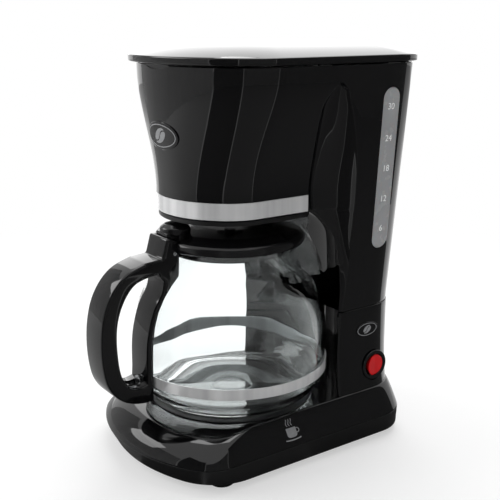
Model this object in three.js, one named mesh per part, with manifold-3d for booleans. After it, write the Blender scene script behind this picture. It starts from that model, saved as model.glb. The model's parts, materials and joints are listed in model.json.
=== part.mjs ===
// Drip coffee maker: a flared housing with a brew bucket in front and a water column behind,
// on a spreading base with a warming plate, and a glass carafe that stands on the plate.
// Millimetres, +Z up, front of the machine towards -Y, water gauge and switch on +X.
// The sub-parts are drawn about the carafe's axis and then moved together, so that the
// origin is the middle of the whole object's footprint.
import * as THREE from 'three';
import { mergeVertices } from 'three/addons/utils/BufferGeometryUtils.js';
import Module from 'manifold-3d';

const wasm = await Module();
wasm.setup();

// ---------------------------------------------------------------- driving dimensions
const GAP = 0.3;            // clearance between touching pieces
const WALL = 2.5;           // moulded wall
const CENTRE_Y = 7.6;       // middle of the footprint, behind the carafe's axis

const FOOT_H = 4.2;
const SKIRT_Z = 4.6;        // underside of the bottom cover
const LEDGE_Z = 18.9;       // widest line of the base
const DECK_Z = 38.4;        // top of the base around the plate
const SEAM_Z = 106.8;       // joint between base and housing
const CEILING_Z = 186.9;    // underside of the bucket
const BAND_TOP_Z = 199.4;   // top of the steel band on the bucket
const ARCH_TOP_Z = 281;     // apex of the arched side recess
const RIM_Z = 293.0;        // top of the housing
const LID_Z = 293.9;        // underside of the lid's edge
const LID_EDGE = 4.8;       // height of the lid's edge
const LID_RISE = 9.2;       // dome of the lid above its edge

const REAR_Y = 125;         // rear wall of column and base
const BAY_Y = 86;           // carafe bay's back wall on the centre line
const TANK_FRONT_Y = 66;
const TANK_TOP_Z = 280;

const CARAFE_R = 74.4;
const BAND_Z = 61.2;        // steel band round the carafe
const BAND_H = 8.2;
const HANDLE_HALF = 13;     // half width of the carafe handle
const LID_PIN = [-55.8, 160.4];          // carafe lid pin, y and z
const HINGE = [126, 294.5];              // main lid's hinge line, y and z
const HINGE_X = 25.2;                    // middle of each hinge lug
const SWITCH = [62.6, 95.5, 56.5];       // centre of the switch on the side wall
const ARM_Y = 74;                        // shower arm's pivot
const BADGE_AT = [0, 244];               // front badge, x and z
const SCOOP_Z = 289.8;                   // lowest point of the finger recess under the lid
const SCOOP_R = 60;
const SCREWS = [[-50, -40], [50, -40], [-58.6, 88], [58.6, 88]];
const FEET = [[-61.6, -50], [61.6, -50], [-56, 108], [56, 108]];
const COLUMN_HALF = 62;                  // half width of the column where it is upright
const FLARE_FOOT_Z = 110;                // the column flares from here upwards
const FLARE = [18, 182];                 // by this much, over this height
const HANDLE_TOP_Z = 172;                // top of the handle's hinge block
const PAD_Y = -48;                       // middle of the carafe lid's thumb pad
const SLOT_Y = -61;                      // front of the slot that the lid's lug turns in

// ---------------------------------------------------------------- materials
const finish = (color, roughness, metalness = 0, opacity = 1) =>
  new THREE.MeshStandardMaterial({ color, roughness, metalness, opacity, transparent: opacity < 1 });
const GLOSS = finish(0x0b0b0c, 0.12);
const SATIN = finish(0x191919, 0.45);
const STEEL = finish(0xb9bbbd, 0.3, 1);
const GLASS = finish(0xe9eeee, 0.03, 0, 0.25);
const GAUGE = finish(0x8f9192, 0.3, 0, 0.8);
const PLATE = finish(0x161616, 0.4, 0.3);
const RUBBER = finish(0x1a1a1a, 0.8);
const SILICONE = finish(0xd8d5cc, 0.5, 0, 0.7);
const ALU = finish(0xa9abad, 0.4, 1);
const BRASS = finish(0xb08d4a, 0.35, 1);
const CLEAR = finish(0xc9cccc, 0.3, 0, 0.6);
const RED = finish(0xc41218, 0.2);
const MESH = finish(0xb48a3c, 0.35, 1);

// ---------------------------------------------------------------- solids
function solid(geometry) {
  const bare = geometry.clone();
  bare.deleteAttribute('normal');
  bare.deleteAttribute('uv');
  const merged = mergeVertices(bare, 1e-4);
  const source = merged.index.array;
  const triangles = [];
  for (let i = 0; i < source.length; i += 3) {
    const [a, b, c] = source.slice(i, i + 3);
    if (a !== b && b !== c && c !== a) triangles.push(a, b, c);
  }
  return new wasm.Manifold(new wasm.Mesh({
    numProp: 3,
    vertProperties: new Float32Array(merged.attributes.position.array),
    triVerts: new Uint32Array(triangles),
  }));
}

function surface(manifold) {
  const mesh = manifold.getMesh();
  const geometry = new THREE.BufferGeometry();
  geometry.setAttribute('position', new THREE.BufferAttribute(mesh.vertProperties, 3));
  geometry.setIndex(new THREE.BufferAttribute(mesh.triVerts, 1));
  geometry.computeVertexNormals();
  return geometry;
}

const join = (...pieces) => pieces.reduce((a, b) => a.add(b));
const cut = (piece, ...tools) => tools.reduce((a, b) => a.subtract(b), piece);

// a box from its lowest corner to its highest
function box(low, high) {
  const size = high.map((value, i) => value - low[i]);
  const geometry = new THREE.BoxGeometry(...size);
  geometry.translate(...low.map((value, i) => value + size[i] / 2));
  return solid(geometry);
}

// a round bar from one point to another
function rod(from, to, radius, sides = 16, endRadius = radius) {
  const a = new THREE.Vector3(...from);
  const b = new THREE.Vector3(...to);
  const geometry = new THREE.CylinderGeometry(endRadius, radius, a.distanceTo(b), sides);
  const turn = new THREE.Quaternion().setFromUnitVectors(
    new THREE.Vector3(0, 1, 0), b.clone().sub(a).normalize());
  geometry.applyQuaternion(turn);
  geometry.translate(...a.add(b).multiplyScalar(0.5));
  return solid(geometry);
}

// a turned piece about +Z: profile of [radius, height] points
function turned(profile, sides = 24) {
  const geometry = new THREE.LatheGeometry(profile.map((p) => new THREE.Vector2(...p)), sides);
  geometry.rotateX(Math.PI / 2);
  return solid(geometry);
}

// a ring of rectangular section about +Z
const ring = (inner, outer, low, high, sides = 24) =>
  turned([[inner, low], [outer, low], [outer, high], [inner, high], [inner, low]], sides);

// a flat outline of [a, b] points, extruded upwards between two heights
function prism(outline, low, high) {
  const shape = new THREE.Shape(outline.map((p) => new THREE.Vector2(...p)));
  const geometry = new THREE.ExtrudeGeometry(shape, { depth: high - low, bevelEnabled: false });
  geometry.translate(0, 0, low);
  return solid(geometry);
}

// the same along X: the outline holds [y, z] points
function slab(outline, low, high, holes = []) {
  const shape = new THREE.Shape(outline.map((p) => new THREE.Vector2(...p)));
  shape.holes = holes.map((hole) => new THREE.Path(hole.map((p) => new THREE.Vector2(...p))));
  const geometry = new THREE.ExtrudeGeometry(shape, {
    depth: high - low, bevelEnabled: false, curveSegments: 1,
  });
  geometry.translate(0, 0, low);
  geometry.applyMatrix4(new THREE.Matrix4().set(0, 0, 1, 0, 1, 0, 0, 0, 0, 1, 0, 0, 0, 0, 0, 1));
  return solid(geometry);
}

// a tube along a smooth curve, hollow when bore is given
function tube(points, radius, steps, bore = 0, sides = 6) {
  const circle = new THREE.Shape();
  circle.absarc(0, 0, radius, 0, 2 * Math.PI, false);
  if (bore > 0) {
    const hole = new THREE.Path();
    hole.absarc(0, 0, bore, 0, 2 * Math.PI, true);
    circle.holes.push(hole);
  }
  const path = new THREE.CatmullRomCurve3(points.map((p) => new THREE.Vector3(...p)));
  return solid(new THREE.ExtrudeGeometry(circle, {
    steps, extrudePath: path, curveSegments: sides / 2, bevelEnabled: false,
  }));
}

// a closed skin over rings of [x, y, z] points that run anticlockwise and rise
function loft(rings) {
  const count = rings[0].length;
  const index = [];
  for (let k = 0; k < rings.length - 1; k += 1) {
    for (let i = 0; i < count; i += 1) {
      const a = k * count + i;
      const b = k * count + ((i + 1) % count);
      index.push(a, b, b + count, a, b + count, a + count);
    }
  }
  // a hair of wobble keeps the points on straight stretches in the cap's triangles
  const wobble = (i) => 1 + 1e-6 * (i % 2);
  const cap = (row) => THREE.ShapeUtils.triangulateShape(
    row.map((p, i) => new THREE.Vector2(p[0] * wobble(i), p[1] * wobble(i + 1))), []);
  const top = (rings.length - 1) * count;
  for (const [a, b, c] of cap(rings[0])) index.push(c, b, a);
  for (const [a, b, c] of cap(rings.at(-1))) index.push(top + a, top + b, top + c);
  const geometry = new THREE.BufferGeometry();
  geometry.setAttribute('position', new THREE.Float32BufferAttribute(rings.flat(2), 3));
  geometry.setIndex(index);
  return solid(geometry);
}

// ---------------------------------------------------------------- outlines
const mix = (a, b, t) => a + (b - a) * t;
const clamp01 = (t) => Math.min(1, Math.max(0, t));
const smooth = (t) => clamp01(t) ** 2 * (3 - 2 * clamp01(t));

// straight-line lookup in [height, value] pairs that rise
function along(table, z) {
  const last = table.length - 1;
  if (z <= table[0][0]) return table[0][1];
  for (let i = 0; i < last; i += 1) {
    const [z0, v0] = table[i];
    const [z1, v1] = table[i + 1];
    if (z <= z1) return mix(v0, v1, (z - z0) / (z1 - z0));
  }
  return table[last][1];
}

function arcPoints(cx, cy, radius, from, to, count) {
  return Array.from({ length: count + 1 }, (_, i) => {
    const angle = mix(from, to, i / count);
    return [cx + radius * Math.cos(angle), cy + radius * Math.sin(angle)];
  });
}

// half of the bowed front: an arc of the given sag that blends into straight sides
function bowedFront({ w, front, sag, corner }) {
  const radius = (w * w + sag * sag) / (2 * sag);
  const cy = front + radius;
  const cornerY = cy - Math.sqrt((radius - corner) ** 2 - (w - corner) ** 2);
  const meet = Math.atan2(cornerY - cy, w - corner);
  return [
    ...arcPoints(0, cy, radius, -Math.PI / 2, meet, 5),
    ...arcPoints(w - corner, cornerY, corner, meet, 0, 4).slice(1),
  ];
}

const rearHalf = (w, rear, corner) => [
  ...arcPoints(w - corner, rear - corner, corner, 0, Math.PI / 2, 5), [0, rear]];

const mirrored = (half) => [...half, ...half.slice(1, -1).reverse().map(([x, y]) => [-x, y])];
const atHeight = (outline, z) => outline.map(([x, y]) => [x, y, z]);

// moves an anticlockwise outline inwards by a distance
function inset(outline, distance) {
  const count = outline.length;
  return outline.map((point, i) => {
    const before = outline[(i + count - 1) % count];
    const after = outline[(i + 1) % count];
    const normal = (p, q) => {
      const length = Math.hypot(q[0] - p[0], q[1] - p[1]);
      return [-(q[1] - p[1]) / length, (q[0] - p[0]) / length];
    };
    const n1 = normal(before, point);
    const n2 = normal(point, after);
    const scale = distance / Math.max(0.5, 1 + n1[0] * n2[0] + n1[1] * n2[1]);
    return [point[0] + (n1[0] + n2[0]) * scale, point[1] + (n1[1] + n2[1]) * scale];
  });
}

// the column's half width: upright below, then flaring to the rim
const columnHalf = (z) => (z > FLARE_FOOT_Z
  ? COLUMN_HALF + FLARE[0] * (z - FLARE_FOOT_Z) / FLARE[1]
  : COLUMN_HALF + 2.6 * clamp01((76 - z) / 38) ** 2);
// the bucket's half width and its front
const bucketHalf = (z) => 52 + 28 * smooth((z - 200) / 92);
const bucketFront = (z) => -54.6 - 6.3 * smooth((z - 202) / 84);
// front and rear edges of the arched recess between bucket and column, as [z, y] pairs
const ARCH_FRONT = [[107, 58], [126, 57], [150, 54.7], [162, 51.5], [169, 48], [176, 43], [187, 35.6],
  [222, 33.4], [245, 29.7], [256, 28], [266, 27.6], [273, 30.9], [281, 38]];
const ARCH_REAR = [[107, 61.5], [141, 63.6], [165, 62.7], [191, 63.2], [214, 62.2], [236, 59.3],
  [258, 53.6], [269, 49.4], [276, 46.7], [281, 41]];
// side of the recess's front edge where it meets the carafe bay
const BAY_EDGE = [[107, 61], [126, 63], [150, 62.5], [162, 61.5], [169, 60], [176, 57], [181, 55],
  [187, 52]];
const ARCH_DEPTH = [[107, 0.3], [141, 1], [165, 5], [190, 9], [245, 8], [272, 3], [281, 0]];

function housingOutline(z) {
  const low = z < CEILING_Z + 0.2;
  const b = { x: low ? along(BAY_EDGE, z) : bucketHalf(z), y: along(ARCH_FRONT, z) };
  const c = { x: columnHalf(z), y: along(ARCH_REAR, z) };
  if (z > ARCH_TOP_Z) b.x = c.x;
  if (low) {
    const length = Math.hypot(c.x - b.x, c.y - b.y);
    b.x -= 1.5 * (c.x - b.x) / length;
    b.y -= 1.5 * (c.y - b.y) / length;
  }
  const depth = along(ARCH_DEPTH, z);
  const middle = [(b.x + c.x) / 2 - 2 * depth, (b.y + c.y) / 2];
  const scoop = [0.25, 0.5, 0.75].map((t) => [
    (1 - t) ** 2 * b.x + 2 * t * (1 - t) * middle[0] + t * t * c.x,
    (1 - t) ** 2 * b.y + 2 * t * (1 - t) * middle[1] + t * t * c.y]);
  const front = bowedFront({
    w: b.x, front: bucketFront(z), sag: 35.2, corner: mix(37, 44, smooth((z - 200) / 92)) });
  return mirrored([...front, [b.x, b.y], ...scoop, ...rearHalf(c.x, REAR_Y, 32)]);
}

// plan of the carafe bay's back wall; grow thickens it backwards
function bayOutline(z, grow) {
  const edge = [along(BAY_EDGE, z), along(ARCH_FRONT, z)];
  const rise = clamp01((z - 157) / 30);
  const middle = BAY_Y - 30 * (1 - Math.sqrt(Math.max(0, 1 - rise * rise)));
  const sag = Math.max(8, middle - edge[1]);
  const radius = (edge[0] ** 2 + sag * sag) / (2 * sag);
  const arc = arcPoints(0, middle - radius, radius + grow, 0.06, Math.PI - 0.06, 14);
  const side = radius + grow + 20;
  return [[-side, -140], [side, -140], ...arc];
}

const BODY_LEVELS = [SEAM_Z, 126, 141, 150, 163, 176, CEILING_Z, CEILING_Z + 0.4, 206, 222, 237,
  251, 264, 273, 278, ARCH_TOP_Z, RIM_Z];
const CAVITY_LEVELS = [SEAM_Z, 141, 163, CEILING_Z, CEILING_Z + 0.4, 212, 237, 258, 273, ARCH_TOP_Z];
const BAY_LEVELS = [90, SEAM_Z, 126, 150, 163, 172, 179, 184, CEILING_Z];

// the housing's outer shape moved inwards by a distance, without its bay
const bodyShape = (distance, low, high) => {
  const levels = (distance > 0 ? CAVITY_LEVELS : BODY_LEVELS).filter((z) => z > low && z < high);
  return loft([low, ...levels, high].map((z) => atHeight(inset(housingOutline(z), distance), z)));
};
const bayShape = (grow) => loft(BAY_LEVELS.map((z, i) => {
  const lift = i === BAY_LEVELS.length - 1 ? grow : 0;
  return atHeight(bayOutline(z, grow), z + lift);
}));

// ---------------------------------------------------------------- assembly
const coffeeMaker = new THREE.Group();
coffeeMaker.position.set(0, -CENTRE_Y, 0);
const carafe = new THREE.Group();
coffeeMaker.add(carafe);

function place(name, material, piece, position = [0, 0, 0], group = coffeeMaker) {
  const mesh = new THREE.Mesh(surface(piece), material);
  mesh.name = name;
  mesh.position.set(...position);
  group.add(mesh);
}

// ---------------------------------------------------------------- housing
const bandOutline = housingOutline(BAND_TOP_Z);
const bandRing = (outer, inner, low, high, rear) => {
  const sheet = cut(prism(inset(bandOutline, outer), low, high),
    prism(inset(bandOutline, inner), low - 1, high + 1));
  return sheet.intersect(box([-90, -90, low - 2], [90, rear, high + 2]));
};

const SLOT_R = 8.3;
const SLOT_LOW = [92.6, 162];
const SLOT_HIGH = [89.3, 268];
const slotOutline = (radius) => {
  const lean = Math.atan2(SLOT_LOW[0] - SLOT_HIGH[0], SLOT_HIGH[1] - SLOT_LOW[1]);
  return [
    ...arcPoints(...SLOT_HIGH, radius, lean, Math.PI + lean, 7),
    ...arcPoints(...SLOT_LOW, radius, Math.PI + lean, 2 * Math.PI + lean, 7)];
};

const hingeLug = (x) => join(
  box([x - 2.6, REAR_Y - 2, 283], [x + 2.6, HINGE[0] + 3.1, HINGE[1]]),
  rod([x - 2.6, ...HINGE], [x + 2.6, ...HINGE], 3.1, 20));
const lugs = [-HINGE_X, HINGE_X];

const housing = cut(
  cut(bodyShape(0, SEAM_Z, RIM_Z), bayShape(0)),
  cut(bodyShape(WALL, SEAM_Z - 1, RIM_Z + 1), bayShape(WALL)),
  rod([0, 0, 180], [0, 0, 195], 11, 24),
  bandRing(-3, 1.1, CEILING_Z - 2, BAND_TOP_Z + GAP, 34.4),
  slab(slotOutline(SLOT_R), 50, 95),
  rod([0, -75, SCOOP_Z + SCOOP_R], [0, bucketFront(RIM_Z) + 1.3, SCOOP_Z + SCOOP_R], SCOOP_R, 96),
);
place('main_housing', GLOSS, cut(
  join(housing, ...lugs.map(hingeLug)),
  ...lugs.map((x) => rod([x - 4, ...HINGE], [x + 4, ...HINGE], 1.8, 12)),
  bodyShape(WALL, 282, RIM_Z + 1),
  box([-22.6, REAR_Y - 6, HINGE[1] - 3.7], [22.6, REAR_Y + 6, 300])));

place('bucket_band', STEEL, bandRing(0.05, 0.8, CEILING_Z + GAP, BAND_TOP_Z, 34));

// trim under the bucket, dished round the drip stop
const trimOutline = inset(housingOutline(CEILING_Z + 1), 1.4);
const inFront = box([-90, -90, 150], [90, 40, 260]);
place('bucket_trim', SATIN, cut(
  prism(trimOutline, 182.6, CEILING_Z - 0.8).intersect(inFront),
  prism(inset(trimOutline, 3), 180, 184.4).intersect(box([-90, -90, 150], [90, 36, 260])),
  rod([0, 0, 170], [0, 0, 200], 11, 24)));

const leanAngle = Math.atan2(...FLARE);
const windowSlab = box([-2.3, 70, -80], [-0.3, 112, 80])
  .rotate([0, leanAngle * 180 / Math.PI, 0])
  .translate([columnHalf(215), 0, 215]);
place('gauge_window', GAUGE, windowSlab.intersect(slab(slotOutline(SLOT_R - GAP), 50, 95)));

// ---------------------------------------------------------------- water tank and riser
const tankShape = (extra, low) => cut(bodyShape(WALL + extra, low, TANK_TOP_Z + extra),
  bayShape(WALL + extra)).intersect(
  box([-90, TANK_FRONT_Y + extra, low - 1], [90, 130, TANK_TOP_Z + 20]));
const VALVE_XY = [-26, 106];
const RISER_XY = [14, 106];
place('water_tank', CLEAR, cut(
  tankShape(0.5, 116), tankShape(2.3, 118),
  rod([...VALVE_XY, 110], [...VALVE_XY, 120], 4.6, 16),
  rod([...RISER_XY, 110], [...RISER_XY, 120], 5, 16)));
place('check_valve', SILICONE, cut(join(
  rod([...VALVE_XY, 98], [...VALVE_XY, 124], 4.2, 16),
  rod([...VALVE_XY, 118.4], [...VALVE_XY, 122], 8, 16),
  rod([...VALVE_XY, 104], [...VALVE_XY, 107], 5.2, 16)),
rod([...VALVE_XY, 90], [...VALVE_XY, 130], 2.2, 12)));
place('inlet_hose', SILICONE, tube([[...VALVE_XY, 97.6], [...VALVE_XY, 84], [-27, 104, 60],
  [-28, 97, 40], [-28, 84, 28], [-28, 66, 27]], 4.6, 12, 2.6));
place('riser_hose', SILICONE, tube([[28, 66, 27], [28, 84, 28], [27, 98, 42], [20, 105, 75],
  [...RISER_XY, 105], [...RISER_XY, 135], [12, 106, 170], [5, 96, 205], [0, 79, 230],
  [0, ARM_Y, 248], [0, ARM_Y, 257.6]], 4.5, 22, 2.6));
place('riser_socket', SATIN, cut(
  join(rod([0, ARM_Y, 258.4], [0, ARM_Y, 281.2], 4.6, 20), rod([0, ARM_Y, 266], [0, ARM_Y, 269], 5.4, 20)),
  rod([0, ARM_Y, 250], [0, ARM_Y, 285], 3.3, 16)));
place('shower_arm', SATIN, cut(join(
  rod([0, ARM_Y, 276], [0, ARM_Y, 282], 2.9, 20),
  rod([0, ARM_Y, 281.6], [0, ARM_Y, 289], 7.5, 20),
  box([-5, 4, 282], [5, ARM_Y, 288.6]),
  rod([0, 4, 281.8], [0, 4, 288.8], 13, 24)),
box([-3, 2, 284], [3, ARM_Y, 286.6]),
rod([0, ARM_Y, 270], [0, ARM_Y, 285], 1.9, 12),
...[0, 1, 2, 3, 4, 5].map((k) => {
  const x = 7 * Math.cos(k * Math.PI / 3);
  const y = 4 + 7 * Math.sin(k * Math.PI / 3);
  return rod([x, y, 280], [x, y, 286], 1.2, 8);
}),
rod([0, 4, 283.8], [0, 4, 286.4], 10.5, 16)));

// ---------------------------------------------------------------- lid
const lidOutline = (shrink, z) => {
  const w = 82.3 - shrink;
  const front = -67.1 + shrink;
  const shape = { w, front, sag: 35.4 * w / 82.3, corner: Math.max(12, 45.5 - 0.5 * shrink) };
  const half = [...bowedFront(shape), ...rearHalf(w, 132 - shrink, Math.max(14, 40 - 0.6 * shrink))];
  return atHeight(mirrored(half), z);
};
const domeHeight = (shrink) => LID_RISE * (1 - (1 - clamp01(shrink / 56)) ** 2.4);
const lidSkin = (drop, edge, low) => loft([
  lidOutline(edge, low),
  ...[0, 3, 12, 30, 56].map((shrink) =>
    lidOutline(shrink + edge, LID_Z + LID_EDGE - drop + domeHeight(shrink)))]);
place('lid', GLOSS, cut(
  join(
    cut(lidSkin(0, 0, LID_Z), lidSkin(2.4, 3, LID_Z - 1)),
    box([-21, HINGE[0] - 3, HINGE[1] - 0.5], [21, HINGE[0] + 3.4, HINGE[1] + 5]),
    rod([-21.8, ...HINGE], [21.8, ...HINGE], 3, 16)),
  rod([-30, ...HINGE], [30, ...HINGE], 1.8, 12),
  ...lugs.map((x) => box([x - 3.3, HINGE[0] - 6, 290], [x + 3.3, 140, 305]))));
for (const [side, x] of [['left', -HINGE_X], ['right', HINGE_X]]) {
  const inward = x > 0 ? -1 : 1;
  place(`lid_hinge_pin_${side}`, STEEL,
    rod([x - inward * 3, ...HINGE], [x + inward * 12, ...HINGE], 1.5, 12));
}

// ---------------------------------------------------------------- brew basket
place('filter_basket', SATIN, cut(
  join(
    turned([[0, 194], [36, 194], [43.4, 200], [54.2, 270], [56, 270], [56, 274], [52.4, 274],
      [41.8, 201.4], [35.4, 196], [0, 196]], 32),
    turned([[4.4, 190.5], [12, 190.5], [12, 195], [4.4, 195], [4.4, 190.5]], 24),
    ring(5, 8, 195, 196.1, 24)),
  rod([0, 0, 180], [0, 0, 200], 5.4, 16)));
place('permanent_filter_frame', SATIN,
  turned([[47.6, 262], [50, 262], [50.4, 266], [47.6, 266], [47.6, 262]], 32));
place('permanent_filter_mesh', MESH, turned([[0, 208], [32, 208], [47.2, 262], [46.6, 262], [31.5, 208.6],
  [0, 208.6]], 32));
place('drip_stop_valve', SATIN, turned([[0, 177.6], [4, 177.6], [4.6, 179], [4.6, 189.4], [4, 190],
  [4, 197.6], [8.4, 197.6], [8.4, 199.4], [2.5, 199.4], [2.5, 203.2], [0, 203.2]], 20));
place('drip_stop_seal', SILICONE, ring(5.7, 9, 196.4, 197.3, 20));
const springTurns = Array.from({ length: 41 }, (_, i) => {
  const angle = i / 40 * 3 * 2 * Math.PI;
  return [4.4 * Math.cos(angle), 4.4 * Math.sin(angle), 200.1 + 3 * i / 40];
});
place('drip_stop_spring', STEEL, tube(springTurns, 0.4, 40, 0, 4));

// ---------------------------------------------------------------- base
const baseOutline = (z) => {
  const t = clamp01((z - LEDGE_Z) / (DECK_Z - LEDGE_Z));
  const roll = 1 - Math.sqrt(1 - 0.985 * t * t);
  const w = 79.4 - 14.6 * (0.75 * t + 0.25 * roll / 0.8775);
  return { w, front: -97.3 + 29.4 * roll / 0.8775, sag: mix(30.8, 40.1, t), corner: mix(29.9, 32.6, t) };
};
const baseRing = (z, distance) => {
  const shape = baseOutline(z);
  const half = [...bowedFront(shape), ...rearHalf(shape.w, REAR_Y, 30)];
  return atHeight(inset(mirrored(half), distance), z);
};
const columnRing = (z, distance) => {
  const outerHalf = columnHalf(z);
  const half = outerHalf - distance;
  const edge = [outerHalf - 1.4, 58.4];
  const sag = BAY_Y - edge[1];
  const radius = (edge[0] ** 2 + sag * sag) / (2 * sag);
  const start = Math.acos((half - 1.4) / (radius + distance));
  const bay = arcPoints(0, BAY_Y - radius, radius + distance, Math.PI / 2, start, 8);
  const corner = [half, bay.at(-1)[1] + 3.1];
  return atHeight(mirrored([...bay, corner, ...rearHalf(half, REAR_Y - distance, 31 - distance)]), z);
};
const BASE_LEVELS = [LEDGE_Z + GAP, 24, 28.5, 32, 35, 37, DECK_Z];
const baseOuter = join(
  loft(BASE_LEVELS.map((z) => baseRing(z, 0))),
  loft([22, 34, 38, 44, 52, 62, 76, SEAM_Z - GAP].map((z) => columnRing(z, 0))));
const baseInner = join(
  loft([[10, LEDGE_Z, WALL], [24, 24, WALL], [28.5, 28.5, WALL], [32, 32, WALL],
    [DECK_Z - WALL, DECK_Z, 1.5]].map(([z, from, wall]) => baseRing(from, wall).map(([x, y]) => [x, y, z]))),
  loft([20, 34, 44, 52, 62, 76, SEAM_Z + 2].map((z) => columnRing(Math.min(z, SEAM_Z), WALL).map(
    ([x, y]) => [x, y, z]))));
const [sx, sy, sz] = SWITCH;
const throughWall = (from, to, radius, sides) => rod([sx + from, sy, sz], [sx + to, sy, sz], radius, sides);
const bossAt = ([x, y]) => rod([x, y, 8.6], [x, y, 37.6], 4, 12);
const pilotAt = ([x, y]) => rod([x, y, 0], [x, y, 24], 1.7, 12);
place('base_shell', GLOSS, cut(
  join(cut(baseOuter, baseInner), ...SCREWS.map(bossAt)),
  rod([0, 0, 30], [0, 0, 45], 62.3, 40),
  throughWall(-6, 6, 10.6, 28),
  throughWall(0.05, 9, 12.6, 28),
  rod([-30, REAR_Y - 10, 28], [-30, REAR_Y + 10, 28], 6.3, 20),
  ...SCREWS.map(pilotAt)));

const skirtRing = (z, distance) => {
  const t = clamp01((z - SKIRT_Z) / (LEDGE_Z - SKIRT_Z));
  const shape = { w: mix(78.2, 79.2, t), front: mix(-89.2, -97.1, t), sag: mix(28, 30.8, t),
    corner: mix(44, 29.9, t) };
  const half = [...bowedFront(shape), ...rearHalf(shape.w, REAR_Y - 0.2, 30)];
  return atHeight(inset(mirrored(half), distance), z);
};
const vents = [];
for (let k = -3; k <= 3; k += 1) {
  vents.push(box([k * 8 - 2, -30, 0], [k * 8 + 2, 20, 10]));
}
place('bottom_cover', SATIN, cut(
  loft([SKIRT_Z, 8, 13, LEDGE_Z].map((z) => skirtRing(z, 0))),
  loft([SKIRT_Z + WALL, 13, LEDGE_Z + 2].map((z) => skirtRing(z, WALL))),
  ...SCREWS.map(([x, y]) => rod([x, y, 0], [x, y, 10], 2.4, 12)),
  ...vents));
SCREWS.forEach(([x, y], i) => place(`cover_screw_${i + 1}`, STEEL, cut(join(
  rod([0, 0, 2.2], [0, 0, 4.3], 3.6, 14), rod([0, 0, 4], [0, 0, 20], 1.4, 8)),
box([-2.6, -0.5, 2], [2.6, 0.5, 3.2])), [x, y, 0]));
['front_left', 'front_right', 'rear_left', 'rear_right'].forEach((name, i) => {
  place(`foot_${name}`, RUBBER, rod([0, 0, 0], [0, 0, FOOT_H], 9, 20, 10), [...FEET[i], 0]);
});
place('cord_grommet', RUBBER, cut(join(
  rod([-30, REAR_Y - 4.6, 28], [-30, REAR_Y + 1.4, 28], 5.9, 20),
  rod([-30, REAR_Y + 0.35, 28], [-30, REAR_Y + 3, 28], 8, 20),
  rod([-30, REAR_Y - 5, 28], [-30, REAR_Y - 2.9, 28], 8, 20)),
rod([-30, REAR_Y - 10, 28], [-30, REAR_Y + 10, 28], 3.4, 16)));

// ---------------------------------------------------------------- warming plate and heater
place('warming_plate', PLATE, turned([[0, 38.2], [56, 38.2], [56, 33], [57.5, 33], [58, 38.6],
  [57, 39.7], [0, 39.7]], 40));
place('plate_seal', SILICONE, turned([[58.4, 35], [61.9, 35], [61.9, 38.7], [64, 38.7], [63.6, 39.3],
  [58.6, 39.3], [58.4, 35]], 40));
const heaterPath = (radius, z) => {
  const points = [[28, 62, z], [29, 50, z]];
  for (let k = 0; k <= 8; k += 1) {
    const angle = mix(0.28 * Math.PI, -1.28 * Math.PI, k / 8);
    points.push([radius * Math.cos(angle), radius * Math.sin(angle), z]);
  }
  return [...points, [-29, 50, z], [-28, 62, z]];
};
place('heating_tube', ALU, tube(heaterPath(38, 27), 4.4, 26, 2.6));
place('heating_element', STEEL, tube(heaterPath(38, 34.4).slice(2, -2), 2.9, 22));
place('heater_bracket', STEEL, cut(join(
  box([-54, -6, 21], [54, 6, 22.2]), box([-46, -6, 21], [-30, 6, 22.2])),
rod([0, 0, 15], [0, 0, 30], 2.6, 12)));
place('bracket_screw', STEEL, join(
  rod([0, 0, 22.4], [0, 0, 37.8], 2.2, 12), rod([0, 0, 17.6], [0, 0, 20.7], 4.2, 6),
  rod([0, 0, 20], [0, 0, 23], 2.2, 12)));
place('thermostat', BRASS, join(
  rod([0, -24, 28], [0, -24, 37.8], 8, 20), box([-9, -25.5, 24], [-6, -22.5, 30]),
  box([6, -25.5, 24], [9, -22.5, 30])));
place('thermal_fuse', CLEAR, rod([-18, 14, 34], [10, 14, 34], 3, 12));
place('terminal_block', CLEAR, cut(box([-52, 62, 8], [-34, 76, 20]),
  rod([-47.5, 50, 14], [-47.5, 90, 14], 2.4, 8), rod([-38.5, 50, 14], [-38.5, 90, 14], 2.4, 8)));
const clampAt = (name, x) => place(name, STEEL, cut(
  join(rod([x, 63, 27], [x, 66.6, 27], 6.2, 16), box([x - 1.5, 63, 32], [x + 1.5, 66.6, 35])),
  rod([x, 60, 27], [x, 70, 27], 4.95, 16)));
clampAt('hose_clamp_inlet', -28);
clampAt('hose_clamp_riser', 28);

// ---------------------------------------------------------------- switch
place('switch_bezel', SATIN, cut(
  join(throughWall(-5, 0.6, 10.2, 28), throughWall(0.35, 1.4, 12.2, 28)), throughWall(-6, 3, 8.9, 28)));
place('switch_body', SATIN, join(throughWall(-20, -5.4, 10, 20),
  ...[-5, 0, 5].map((dz) => box([sx - 27, sy - 0.5, sz + dz - 1.6], [sx - 19, sy + 0.5, sz + dz + 1.6]))));
const rocker = prism([[-3.4, -6], [1.2, -8.5], [2.4, -8.4], [1.1, 0], [2.4, 8.4], [1.2, 8.5], [-3.4, 6]],
  -8.6, 8.6).intersect(rod([-5, 0, 0], [5, 0, 0], 8.5, 28));
place('switch_rocker', RED, rocker.rotate([0, 0, 7]), [sx, sy, sz]);

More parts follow.
